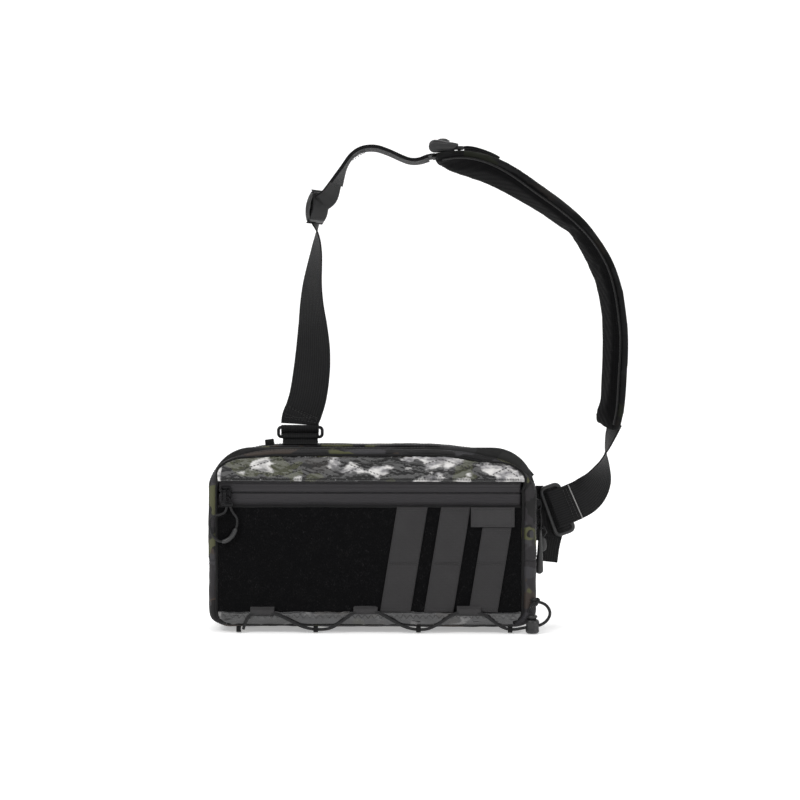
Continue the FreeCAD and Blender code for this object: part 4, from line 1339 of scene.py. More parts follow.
    def top_strip(self) -> None:
        """The wide film strip over the zip, with crossed stitching and a dense lower hem."""
        columns, rows = 420, 44
        z = np.linspace(self.size.window_high - 0.4, self.size.field_high, rows)
        x = self.size.face_span(z, self.size.face_inset + 1.3, np.linspace(-1.0, 1.0, columns))
        points = self.film(x, np.broadcast_to(z[:, None], x.shape), 1.5, 0.9, 81)
        points[:4, :, 1] -= np.array([0.9, 0.8, 0.5, 0.2])[:, None]
        made = slab("top_film_strip", points, FRONT, 1.4, CAMO_FILM)
        ride(made, Body.FLAP, "top_laminate", slot="clear_laminate")
        self.top_stitches()

    def top_stitches(self) -> None:
        """Long crossing lines that meet every 50 or so, and upright stitches along the hem."""
        low, high = self.size.window_high + 3.6, self.size.field_high - 1.6
        nodes = np.array([-146.0, -123.0, -93.0, -63.0, -38.0, -13.0, 14.5, 42.0, 68.0, 94.0, 114.0,
                          132.0, 145.0])
        order = np.arange(len(nodes))
        swing = np.where(order % 2 == 1, 0.5, np.where(order % 4 == 0, 1.0, 0.0))
        lines = []
        for mirror in (False, True):
            share = 1.0 - swing if mirror else swing
            even = np.linspace(nodes[0], nodes[-1], 240)
            z = np.interp(even, nodes, low + share * (high - low))
            left, right = self.size.face_sides(z, self.size.face_inset + 2.4)
            keep = (even > left) & (even < right)
            lines.append(xyz(even, self.level(even, z, 2.75), z)[keep])
        ride(sewing("crossed_stitches", lines, 3.4, 0.7, THREAD), Body.FLAP, slot="webbing")
        x = np.arange(-150.0, 145.5, 1.55)
        base = xyz(x, self.size.front - 2.95, low - 3.4)
        jitter = ripple(base, 5.0, 83)[:, None] * np.array([[0.25, 0.0, 0.35]])
        tip = base + np.array([[0.15, 0.0, 2.5]]) + jitter
        vertices, faces = stitch_row(base, tip, 0.55)
        ride(piece("hem_stitches", vertices, faces, THREAD), Body.FLAP, slot="webbing")


# ------------------------------------------------------------------ zips


@dataclass
class Zips:
    """The main zip over the top and the pocket zip across the front."""

    size: BagSize = BAG
    slit: float = 139.5
    tape_front: float = -36.15
    tooth: float = 1.6

    def build(self) -> None:
        """Makes tapes, lips and teeth."""
        self.main_tapes()
        self.pocket_tapes()

    def main_tapes(self) -> None:
        """Two tapes sunk between the top gussets, each with a rolled lip along the slit."""
        for front in (True, False):
            sign = -1.0 if front else 1.0
            points, out = self.size.skin(True, sign * 15.4, sign * 0.55, 230, 22, sink=2.0,
                                         seed=21 if front else 31)
            depth = np.abs(points[..., 1])
            lip = (0.45 * np.exp(-((depth - 1.6) / 1.1) ** 2)
                   + 0.2 * np.exp(-((depth - 5.4) / 0.7) ** 2))
            points = points + out * lip[..., None]
            name = "main_tape_front" if front else "main_tape_rear"
            made = slab(name, points, out, 0.8, ZIP_TAPE)
            base = points[:, -1] - out[:, -1] * 1.0
            walked = lengths_along(base)
            even = np.arange(1.0, walked[-1] - 1.0, self.tooth) + (0.0 if front else self.tooth / 2)
            start = sampled(base, walked, even)
            end = start + np.array([0.0, sign * 2.6, 0.0])
            vertices, faces = stitch_row(start + np.array([0.0, -sign * 0.25, 0.0]), end, 1.0)
            teeth = piece(name + "_teeth", vertices, faces, GREY_PLASTIC)
            if front:
                cross_hinge(made, GUSSET_BLEND, "front_zip_tape", slot="zip_tape")
                cross_hinge(teeth, GUSSET_BLEND, slot="moulded_plastic")
            else:
                ride(made, Body.BAG, "rear_zip_tape", slot="zip_tape")
                ride(teeth, Body.BAG, slot="moulded_plastic")

    def pocket_tapes(self) -> None:
        """Coated tapes that meet at the slit; fine ridges run along both."""
        spans = (("pocket_tape_lower", self.slit - 14.2, self.slit - 0.35, "pocket_zip_tape_lower"),
                 ("pocket_tape_upper", self.slit + 0.35, self.slit + 13.2, "pocket_zip_tape_upper"))
        for name, low, high, node in spans:
            z = np.linspace(low, high, 60)
            x = np.linspace(-153.0, 147.6, 160)
            grid_x, grid_z = np.meshgrid(x, z)
            away = np.abs(grid_z - self.slit)
            ridge = 0.0
            for place, tall, wide in ((1.5, 0.42, 0.9), (3.6, 0.3, 0.5), (5.0, 0.3, 0.5),
                                      (8.2, 0.25, 0.8)):
                ridge = ridge + tall * np.exp(-((away - place) / wide) ** 2)
            points = xyz(grid_x, self.tape_front + 0.35 - ridge, grid_z)
            points[..., 1] += 0.12 * ripple(points, 30.0, 91)
            points[..., 1] += 0.8 * smooth_step(away, 1.2, 0.3)
            made = slab(name, points, FRONT, 0.9, ZIP_TAPE)
            ride(made, Body.FLAP, node, slot="zip_tape")
            side = 1.0 if "upper" in name else -1.0
            steps = np.arange(-149.0, 146.0, self.tooth) + (self.tooth / 2 if side > 0 else 0.0)
            start = xyz(steps, self.tape_front + 1.0, self.slit - side * 0.2)
            vertices, faces = stitch_row(start, start + np.array([0.0, 0.0, side * 2.4]), 0.9)
            ride(piece(name + "_teeth", vertices, faces, GREY_PLASTIC), Body.FLAP,
                 slot="moulded_plastic")
        self.pocket_edges()

    def pocket_edges(self) -> None:
        """Rolled cloth edges above and below the pocket zip, and a stitch line on each."""
        lines = []
        for name, level, finish in (("pocket_edge_lower", self.size.window_low + 0.2, BINDING),
                                    ("pocket_edge_upper", self.size.window_high + 0.2, CAMO_FILM)):
            x = np.linspace(-152.6, 147.0, 150)
            path = xyz(x, self.size.front - 0.7, level)
            path[:, 2] += ripple(path, 40.0, 93) * 0.3
            across = np.broadcast_to([0.0, 0.0, 1.0], path.shape)
            normal = np.broadcast_to([0.0, -1.0, 0.0], path.shape)
            made = carry(name, superellipse(2.2, 2.6, 2.4, 14), path, across, normal, finish)
            ride(made, Body.FLAP, slot="webbing")
            side = 1.0 if level > self.slit else -1.0
            lines.append(path + np.array([0.0, 1.95, -side * 3.0]))
        ride(sewing("pocket_tape_seams", lines, 2.6, 0.45, THREAD), Body.FLAP, slot="webbing")


# ------------------------------------------------------------------ cords and their fittings


@dataclass
class Cords:
    """The elastic cord along the base with its lock, and the pocket zip's pull loop."""

    thickness: float = 3.0
    pull_thickness: float = 2.3
    keepers: tuple = ((-109.0, 21.2, -39.2), (-6.5, 22.6, -39.2), (96.0, 22.6, -40.4))
    loops: tuple[float, ...] = (-132.5, -56.0, 46.0, 137.0)
    shock_route: tuple = (
        (-128.0, -40.6, 3.6), (-126.0, -41.4, 11.0), (-121.6, -41.8, 18.8), (-111.0, -41.8, 21.8),
        (-98.0, -41.8, 20.4), (-84.0, -41.9, 14.0), (-71.0, -41.6, 6.8), (-60.0, -40.6, 3.9),
        (-50.0, -40.6, 3.3), (-39.5, -41.4, 5.2), (-29.0, -42.0, 12.4), (-19.0, -41.8, 20.6),
        (-7.5, -41.8, 23.6), (5.5, -41.8, 21.6), (19.0, -42.0, 13.6), (32.0, -41.4, 6.2),
        (44.0, -40.6, 3.5), (56.0, -40.8, 4.0), (68.0, -42.0, 10.6), (81.0, -42.8, 20.2),
        (95.0, -43.0, 23.6), (109.0, -43.0, 20.6), (120.5, -42.4, 12.2), (130.0, -41.0, 5.4),
        (140.0, -40.5, 3.6), (151.0, -40.2, 5.8), (159.0, -40.0, 6.7), (167.0, -40.0, 8.2),
        (174.0, -40.0, 13.0), (177.2, -39.6, 20.5), (173.6, -38.8, 28.0), (166.0, -38.0, 31.6),
        (159.6, -38.6, 30.4), (157.2, -38.4, 25.6), (155.4, -36.6, 21.4))
    pull_route: tuple = (
        (-143.6, -44.4, 126.6), (-144.2, -44.6, 121.5), (-149.5, -44.4, 118.4),
        (-156.5, -44.4, 117.6),
        (-161.2, -44.4, 112.5), (-160.6, -44.4, 104.5), (-157.4, -44.4, 96.5),
        (-151.5, -44.4, 91.4),
        (-144.4, -44.4, 91.8), (-138.4, -44.4, 96.6), (-134.9, -44.4, 103.5),
        (-132.8, -44.4, 110.0),
        (-134.0, -44.4, 116.5), (-138.6, -44.6, 121.6), (-140.2, -44.4, 126.6))

    def build(self) -> None:
        """Makes both cords first, then what they run through."""
        shock = self.spline("shock_cord_line", self.shock_route, self.thickness)
        ride(shock, Body.BAG, "shock_cord", slot="elastic_cord")
        pull = self.spline("pull_cord_line", self.pull_route, self.pull_thickness)
        ride(pull, Body.POCKET_PULL, "pocket_pull_cord", slot="elastic_cord")
        self.tunnels()
        self.knot()
        self.sleeve(pull)

    def spline(self, name: str, route: Sequence[Sequence[float]],
               thickness: float) -> bpy.types.Object:
        """A round cord: one smooth NURBS line with the route's points as its control points."""
        curve = bpy.data.curves.new(name, "CURVE")
        curve.dimensions = "3D"
        line = curve.splines.new("NURBS")
        line.points.add(len(route) - 1)
        for point, place in zip(line.points, route):
            point.co = (place[0] * MM, place[1] * MM, place[2] * MM, 1.0)
        line.order_u = 3
        line.use_endpoint_u = True
        line.resolution_u = 10
        curve.bevel_depth = thickness * MM / 2
        curve.bevel_resolution = 5
        curve.use_fill_caps = True
        curve.materials.append(CORD.material())
        made = bpy.data.objects.new(name, curve)
        bpy.context.scene.collection.objects.link(made)
        return made

    def followed(self, made: bpy.types.Object) -> Array:
        """Points along a cord's own spline, in millimetres."""
        bare = made.data.copy()
        bare.bevel_depth = 0.0
        probe = bpy.data.objects.new("probe", bare)
        bpy.context.scene.collection.objects.link(probe)
        deps = bpy.context.evaluated_depsgraph_get()
        mesh = bpy.data.meshes.new_from_object(probe.evaluated_get(deps))
        points = vertex_places(mesh)
        bpy.data.objects.remove(probe)
        bpy.data.curves.remove(bare)
        bpy.data.meshes.remove(mesh)
        return points / MM

    def tunnels(self) -> None:
        """Flat keepers sewn over the cord and the small loops under the front edge.

        A keeper's section bulges over the cord and lies flat at both sewn edges.
        """
        seams = []
        for index, (middle, height, base) in enumerate(self.keepers, start=1):
            share = np.linspace(-1.0, 1.0, 30)
            along = np.linspace(middle - 12.0, middle + 12.0, 24)
            bulge = 3.6 * np.exp(-((share * 4.4) / 2.9) ** 4)
            x, z = np.meshgrid(along, height + share * 5.0)
            y = np.broadcast_to((base - 0.85 - bulge)[:, None], x.shape).copy()
            pinch = np.abs(x - middle) / 12.0
            y += bulge[:, None] * 0.22 * pinch ** 3
            points = xyz(x, y, z)
            made = slab(f"keeper_{index}", points, FRONT, 0.9, TAB_WEB)
            ride(made, Body.BAG, f"cord_keeper_{index}", slot="webbing")
            for side in (-1, 1):
                line = xyz(np.linspace(middle - 11, middle + 11, 12), base - 0.95,
                           height + side * 4.5)
                seams.append(line)
        ride(sewing("keeper_seams", seams, 2.2, 0.5, THREAD), Body.BAG, slot="webbing")
        parts = []
        for middle in self.loops:
            turn = np.linspace(-0.25 * math.pi, 1.25 * math.pi, 30)
            path = xyz(middle, -38.9 - 3.9 * np.sin(turn) * 0.95, 3.7 - 2.9 * np.cos(turn))
            tangent = tangents(path)
            across = np.broadcast_to([1.0, 0.0, 0.0], path.shape)
            parts.append(carry("loop", rounded_section(4.6, 0.5, 0.2, 2, 6), path, across,
                               np.cross(tangent, across), BINDING))
        ride(merged("base_loops", parts), Body.BAG, "bottom_cord_loops", slot="webbing")

    def knot(self) -> None:
        """An overhand knot: a trefoil line of the cord's own thickness, drawn tight."""
        turn = np.linspace(0.0, 2.0 * math.pi, 96, endpoint=False)
        shape = xyz(np.sin(turn) + 2 * np.sin(2 * turn), -1.15 * np.sin(3 * turn),
                    np.cos(turn) - 2 * np.cos(2 * turn))
        path = np.array([162.0, -37.8, 31.6]) + shape * np.array([1.2, 1.3, 1.15])
        tangent = tangents(path, closed=True)
        side = unit(np.cross(tangent, [0.0, 1.0, 0.0]))
        made = carry("overhand_knot", superellipse(2.9, 2.9, 2.0, 12), path, side,
                     np.cross(tangent, side), CORD,
                     closed=True)
        ride(made, Body.BAG, "cord_knot", slot="elastic_cord")

    def sleeve(self, pull: bpy.types.Object) -> None:
        """The moulded sleeve: rings round the pull cord's own line, swollen in the middle."""
        line = self.followed(pull)
        near = (line[:, 2] < 105.0) & (line[:, 0] > -148.6)
        path = line[near]
        tangent = tangents(path)
        side = unit(np.cross(tangent, [0.0, 1.0, 0.0]))
        other = np.cross(tangent, side)
        share = np.linspace(0.0, 1.0, len(path))
        radius = 1.35 + 1.05 * np.clip(np.sin(math.pi * share) * 3.0, 0.0, 1.0) ** 0.6
        turn = np.linspace(0.0, 2.0 * math.pi, 20, endpoint=False)[None, :, None]
        ring = np.cos(turn) * side[:, None] + np.sin(turn) * other[:, None]
        made = tube("pull_sleeve", path[:, None] + ring * radius[:, None, None], PLASTIC)
        ride(made, Body.POCKET_PULL, "pocket_pull_sleeve", slot="moulded_plastic")


# ------------------------------------------------------------------ the carrying loop


@dataclass
class Loop:
    """Webbing, shoulder pad and their stitching; stations are X, Z and the turn to the front."""

    plane: float = 24.0
    width: float = 38.0
    ply: float = 1.6
    ring_bar: float = 199.4
    left: tuple = ((-74.4, 202.6, 90), (-73.8, 208.0, 90), (-70.6, 216.0, 90), (-66.0, 232.0, 86),
                   (-62.5, 256.0, 78), (-61.0, 279.0, 66), (-61.3, 302.0, 52), (-62.3, 322.0, 41),
                   (-61.5, 345.0, 31), (-57.5, 377.0, 18), (-56.6, 394.0, 6), (-58.2, 405.4, -8))
    upper: tuple = ((-52.4, 424.4, -27), (-44.2, 431.0, -26), (-37.5, 444.0, -16),
                    (-29.5, 461.0, -4),
                    (-21.5, 472.5, -3), (-11.0, 479.0, -5), (1.5, 480.0, -6), (14.5, 476.0, -6),
                    (28.0, 470.0, -6), (37.0, 467.0, -6), (46.0, 467.3, -6), (55.0, 470.0, -7),
                    (62.0, 471.0, -7))
    pad: tuple = ((60.8, 466.4, -2), (74.0, 466.6, -9), (92.0, 464.6, -16), (112.0, 459.4, -19),
                  (134.0, 449.5, -18), (161.0, 433.0, -14), (183.0, 418.0, -12),
                  (202.0, 403.0, -11),
                  (216.0, 385.0, -12), (229.0, 363.0, -13), (237.5, 338.0, -13),
                  (241.2, 314.0, -13),
                  (242.6, 289.0, -14), (241.5, 254.0, -13), (239.0, 222.0, -13),
                  (232.0, 199.0, -18))
    right: tuple = ((243.2, 205.0, -17), (238.0, 190.0, -10), (233.5, 174.0, 4), (231.0, 161.0, 24),
                    (225.0, 144.0, 56), (213.5, 130.5, 82), (198.0, 122.5, 90), (181.0, 116.0, 90))
    keeper: tuple = ((84.5, 477.6, 0), (91.0, 480.6, -3), (99.0, 479.4, -7), (108.0, 475.6, -12),
                     (117.0, 471.4, -15), (124.0, 467.0, -17))
    tongue: tuple = ((59.0, 471.6, -6), (68.0, 473.6, -6), (78.0, 474.0, -6), (89.0, 474.2, -7),
                     (98.0, 473.0, -8))
    tail: tuple = ((184.0, 100.0, 82), (179.0, 80.0, 80), (176.5, 62.0, 78))
    seams: list = field(default_factory=list)

    def frame(self, line: Sequence[Sequence[float]], count: int,
              y: float) -> tuple[Array, Array, Array]:
        """Places, and directions across and outwards, along a smooth curve through stations."""
        curve = spline(line, count)
        places = xyz(curve[:, 0], y, curve[:, 1])
        along = tangents(places)
        outward = xyz(-along[:, 2], 0.0, along[:, 0])
        turn = np.radians(curve[:, 2])[:, None]
        depth = np.array([0.0, 1.0, 0.0])
        across = depth * np.cos(turn) + outward * np.sin(turn)
        normal = outward * np.cos(turn) - depth * np.sin(turn)
        return places, across, normal

    def band(self, name: str, line: Sequence[Sequence[float]], width: float, offset: float = 0.0,
             y: float | None = None, step: float = 2.5) -> bpy.types.Object:
        """A woven band with soft edges, along a line of stations, moved outwards by an offset."""
        length = sum(math.dist(a[:2], b[:2]) for a, b in zip(line, line[1:]))
        y = self.plane if y is None else y
        places, across, normal = self.frame(line, max(8, int(length / step)), y)
        wander = ripple(places, 80.0, 101)[:, None] * 0.35
        centres = places + normal * (offset + wander)
        section = rounded_section(width, self.ply, 0.7, 3, 10)
        return carry(name, section, centres, across, normal, STRAP_WEB)

    def cross_seams(self, line: Sequence[Sequence[float]], shares: Sequence[float], width: float,
                    offset: float, boxed: bool = False) -> None:
        """Rows of stitches across a band at shares of its length; boxed adds a crossed square."""
        places, across, normal = self.frame(line, 101, self.plane)
        ends = []
        for share in shares:
            k = int(share * 100)
            half = across[k] * (width / 2 - 3.0)
            for face in (-1, 1):
                level = places[k] + normal[k] * (offset + face * (self.ply * 0.5 + 0.55))
                self.seams.append(np.stack([level - half, level, level + half]))
            ends.append((places[k] + normal[k] * (offset + self.ply * 0.5 + 0.55), half))
        if boxed:
            (a, ha), (b, hb) = ends[0], ends[-1]
            self.seams.extend([np.stack([a - ha, b + hb]), np.stack([a + ha, b - hb]),
                               np.stack([a - ha, b - hb]), np.stack([a + ha, b + hb])])

    def build(self) -> None:
        """Makes every band, then the pad, then all the sewing as one piece."""
        self.left_side()
        ride(self.band("upper_band", self.upper, self.width, offset=1.0), Body.STRAP,
             "upper_webbing", slot="webbing")
        ride(self.band("return_band", self.upper[2:-1], self.width, offset=-0.9), Body.STRAP,
             "return_webbing",
             slot="webbing")
        self.cross_seams(self.upper[3:7], (0.1, 0.9), self.width, 0.0, boxed=True)
        self.right_side()
        plies = [self.band("ply", self.keeper[1 if k else 0:], 30.0, offset=-1.8 * k, step=1.2)
                 for k in range(3)]
        plies += [self.band("ply", self.tongue, 30.0, offset=-1.7 * k, step=1.5) for k in range(2)]
        ride(merged("pad_keeper_band", plies), Body.STRAP, "pad_webbing_loop", slot="webbing")
        self.cross_seams(self.keeper, (0.8, 0.93), 30.0, 0.0)
        ShoulderPad(self).build()
        ride(sewing("loop_sewing", self.seams, 3.0, 0.6, THREAD), Body.STRAP, slot="webbing")

    def left_side(self) -> None:
        """The left band, folded round the ring's upper bar and sewn to itself above it."""
        long_ply = self.band("long_ply", self.left, self.width)
        short = [(-74.4, 202.6, 90), (-73.8, 208.0, 90), (-71.4, 214.6, 90)]
        short_ply = self.band("short_ply", short, self.width, offset=self.ply, step=1.2)
        turn = np.linspace(-0.12 * math.pi, 1.12 * math.pi, 40)
        radius = 1.6 + 0.2 + self.ply / 2
        path = xyz(-74.3, self.plane + radius * np.cos(turn),
                   self.ring_bar - (radius + 2.2) * np.sin(turn))
        squeeze = smooth_step(path[:, 2], self.ring_bar, self.ring_bar + 2.6)
        path[:, 1] += (self.plane - 0.8 - path[:, 1]) * squeeze * 0.3
        tangent = tangents(path)
        across = np.broadcast_to([1.0, 0.0, 0.0], path.shape)
        fold = carry("fold", rounded_section(self.width, self.ply, 0.7, 3, 10), path, across,
                     np.cross(tangent, across), STRAP_WEB)
        inner = self.band("inner_turn",
                          ((-74.4, 189.6, 90), (-74.4, 194.5, 90), (-74.4, 200.0, 90)), self.width,
                          step=1.5)
        ride(merged("left_band", [long_ply, short_ply, fold, inner]), Body.STRAP, "left_webbing",
             slot="webbing")
        self.cross_seams(self.left[:3], (0.3, 0.42, 0.8, 0.92), self.width, self.ply / 2,
                         boxed=True)

    def right_side(self) -> None:
        """The right band down to the ladder lock, its sewn fold and painted edge highlight, the
        anchor band and the tail.
        """
        ride(self.band("right_band", self.right, self.width), Body.STRAP, "right_webbing",
             slot="webbing")
        fold_line = ((203.5, 124.9, 88), (197.0, 122.1, 90), (189.0, 119.0, 90), (181.0, 116.0, 90))
        ride(self.band("right_fold", fold_line, self.width, offset=self.ply, step=1.5), Body.STRAP,
             "right_webbing_fold", slot="webbing")
        self.cross_seams(fold_line, (0.15, 0.3), self.width, self.ply)
        # a pale strip along the fold's edge: a painted highlight, not a real edge
        places, across, normal = self.frame(fold_line, 12, self.plane)
        reach = np.linspace(-18.6, 18.6, 30)[:, None]
        rim = places[0] + across[0] * reach + normal[0] * (self.ply * 1.5)
        made = carry("fold_edge_highlight", superellipse(1.2, 0.7, 2.4, 10), rim,
                     np.broadcast_to(-places[0] + places[1], rim.shape)
                     / np.linalg.norm(places[1] - places[0]), np.broadcast_to(normal[0], rim.shape),
                     PAINTED_EDGE_HIGHLIGHT)
        ride(made, Body.STRAP, slot="webbing")
        anchor = ((187.0, 113.0, 90), (182.0, 111.2, 90), (176.8, 109.3, 90))
        made = self.band("anchor_band", anchor, self.width, y=self.plane + 6.8, step=1.0)
        ride(made, Body.STRAP, "right_anchor_webbing", slot="webbing")
        z, share = np.meshgrid(np.linspace(88.0, 140.0, 30), np.linspace(0.0, 1.0, 16),
                               indexing="ij")
        x = 163.8 + share * (7.4 + (140.0 - z) * 0.36)
        points = xyz(x, self.plane + 5.4 + 0.9 * np.sin(share * math.pi) * np.sin(z * 0.09), z)
        ride(slab("anchor_fan", points, FRONT, 1.3, STRAP_WEB), Body.STRAP, slot="webbing")
        made = self.band("tail_band", self.tail, 20.0, y=self.plane + 10.5, step=1.5)
        ride(made, Body.STRAP, "webbing_tail", slot="webbing")


@dataclass
class ShoulderPad:
    """A curved foam pad: camouflage outside and round its edges, ribbed mesh against the body."""

    loop: Loop
    width: float = 60.0
    thickness: float = 11.2
    mesh_half: float = 26.5
    swell_limit: float = 3.0
    voxel: float = 0.004

    def build(self) -> None:
        """Shapes, swells and dresses the pad, then adds its edge tape."""
        loop = self.loop
        places, across, normal = loop.frame(loop.pad, 190, loop.plane)
        walked = lengths_along(places)
        nearest_end = np.minimum(walked, walked[-1] - walked)
        taper = np.sqrt(1.0 - (1.0 - np.clip(nearest_end / 5.0, 0.05, 1.0)) ** 2)
        section = superellipse(self.width, self.thickness, 3.4, 48)
        ring = (places[:, None] + section[None, :, :1] * across[:, None]
                * (0.9 + 0.1 * taper[:, None, None])
                + section[None, :, 1:] * normal[:, None] * (0.6 + 0.4 * taper[:, None, None]))
        made = tube("shoulder_pad", ring, PAD_CAMO)
        swell(made, self.voxel, 4.0, self.swell_limit * MM)
        self.lay_out(made, places, across, normal, walked)
        ride(made, Body.STRAP, "pad_cover", "pad_mesh", "pad_foam", slot="pad_mesh")
        self.edge_tape(made, places, across, normal)

    def local(self, made: bpy.types.Object, places: Array, across: Array,
              normal: Array) -> tuple[Array, ...]:
        """Each vertex's nearest station, its distances across and outwards, and its offset."""
        points = vertex_places(made.data) / MM
        nearest = np.empty(len(points), dtype=np.int64)
        for start in range(0, len(points), 4000):
            part = points[start:start + 4000]
            nearest[start:start + 4000] = np.argmin(((part[:, None]
                                                      - places[None]) ** 2).sum(axis=-1), axis=1)
        offset = points - places[nearest]
        return nearest, np.sum(offset * across[nearest], axis=-1), np.sum(offset * normal[nearest],
                                                                          axis=-1), offset

    def lay_out(self, made: bpy.types.Object, places: Array, across: Array, normal: Array,
                walked: Array) -> None:
        """Gives the pad a cloth map and sets the mesh finish on its inner face."""
        nearest, u, n, offset = self.local(made, places, across, normal)
        along = tangents(places)
        v = walked[nearest] + np.sum(offset * along[nearest], axis=-1)
        mesh = made.data
        lay_cloth(mesh, np.stack([u, v], axis=-1))
        mesh.materials.clear()
        mesh.materials.append(PAD_CAMO.material())
        mesh.materials.append(PAD_MESH.material())
        choice = []
        for polygon in mesh.polygons:
            corners = list(polygon.vertices)
            inner = np.mean(n[corners]) < 0.0 and abs(float(np.mean(u[corners]))) < self.mesh_half
            choice.append(1 if inner else 0)
        mesh.polygons.foreach_set("material_index", choice)
        mesh.polygons.foreach_set("use_smooth", [True] * len(mesh.polygons))
        mesh.update()

    def edge_tape(self, made: bpy.types.Object, places: Array, across: Array,
                  normal: Array) -> None:
        """A narrow tape over the line where mesh meets cover, and stitches along it."""
        nearest, u, n, _ = self.local(made, places, across, normal)
        tapes = []
        for edge in (-1, 1):
            levels = []
            for k in range(len(places)):
                close = (np.abs(nearest - k) <= 3) & (np.abs(u - edge
                                                             * self.mesh_half) < 3.5) & (n < 0.0)
                levels.append(float(np.mean(n[close])) if close.any() else -self.thickness / 2)
            smooth = np.convolve(np.pad(levels, 6, mode="edge"), np.full(13, 1 / 13), mode="valid")
            span = slice(4, len(places) - 4)
            centres = (places + across * edge * self.mesh_half + normal
                       * (smooth - 0.35)[:, None])[span]
            section = superellipse(5.0, 1.3, 2.6, 14)
            tapes.append(carry("tape", section, centres, across[span], normal[span], BINDING))
            self.loop.seams.append(centres - normal[span] * 0.75)
        ride(merged("pad_edge_tape", tapes), Body.STRAP, slot="webbing")


def swell(made: bpy.types.Object, voxel: float, pressure: float, limit: float) -> None:
    """Blows a closed shape up gently as cloth, with no point moved further than the limit.

    Args:
        made: the closed piece, which is remeshed first.
        voxel: the remesh size in metres.
        pressure: the force that pushes the cloth out.
        limit: the most that a point may move, in metres.
    """
    scene = bpy.context.scene
    remesh = made.modifiers.new("even", "REMESH")
    remesh.mode = "VOXEL"
    remesh.voxel_size = voxel
    bake_modifiers(made)
    start = vertex_places(made.data)
    cloth = made.modifiers.new("cloth", "CLOTH")
    cloth.settings.quality = 4
    cloth.settings.use_pressure = True
    cloth.settings.uniform_pressure_force = pressure
    cloth.settings.effector_weights.gravity = 0.0
    cloth.point_cache.frame_start = 1
    cloth.point_cache.frame_end = CLOTH_FRAMES
    for frame_number in range(1, CLOTH_FRAMES + 1):
        scene.frame_set(frame_number)
    blown = made.evaluated_get(bpy.context.evaluated_depsgraph_get())
    move = vertex_places(blown.data) - start
    made.modifiers.clear()
    scene.frame_set(1)
    far = np.linalg.norm(move, axis=-1, keepdims=True)
    move = move * np.minimum(1.0, limit / np.maximum(far, 1e-9))
    made.data.vertices.foreach_set("co", (start + move).ravel())
    made.data.update()
    made.modifiers.new("smooth", "SUBSURF").levels = 1
    bake_modifiers(made)


def bake_modifiers(made: bpy.types.Object) -> None:
    """Puts the result of a piece's modifiers into its mesh and removes them."""
    deps = bpy.context.evaluated_depsgraph_get()
    result = bpy.data.meshes.new_from_object(made.evaluated_get(deps))
    made.modifiers.clear()
    made.data = result


# ------------------------------------------------------------------ fittings


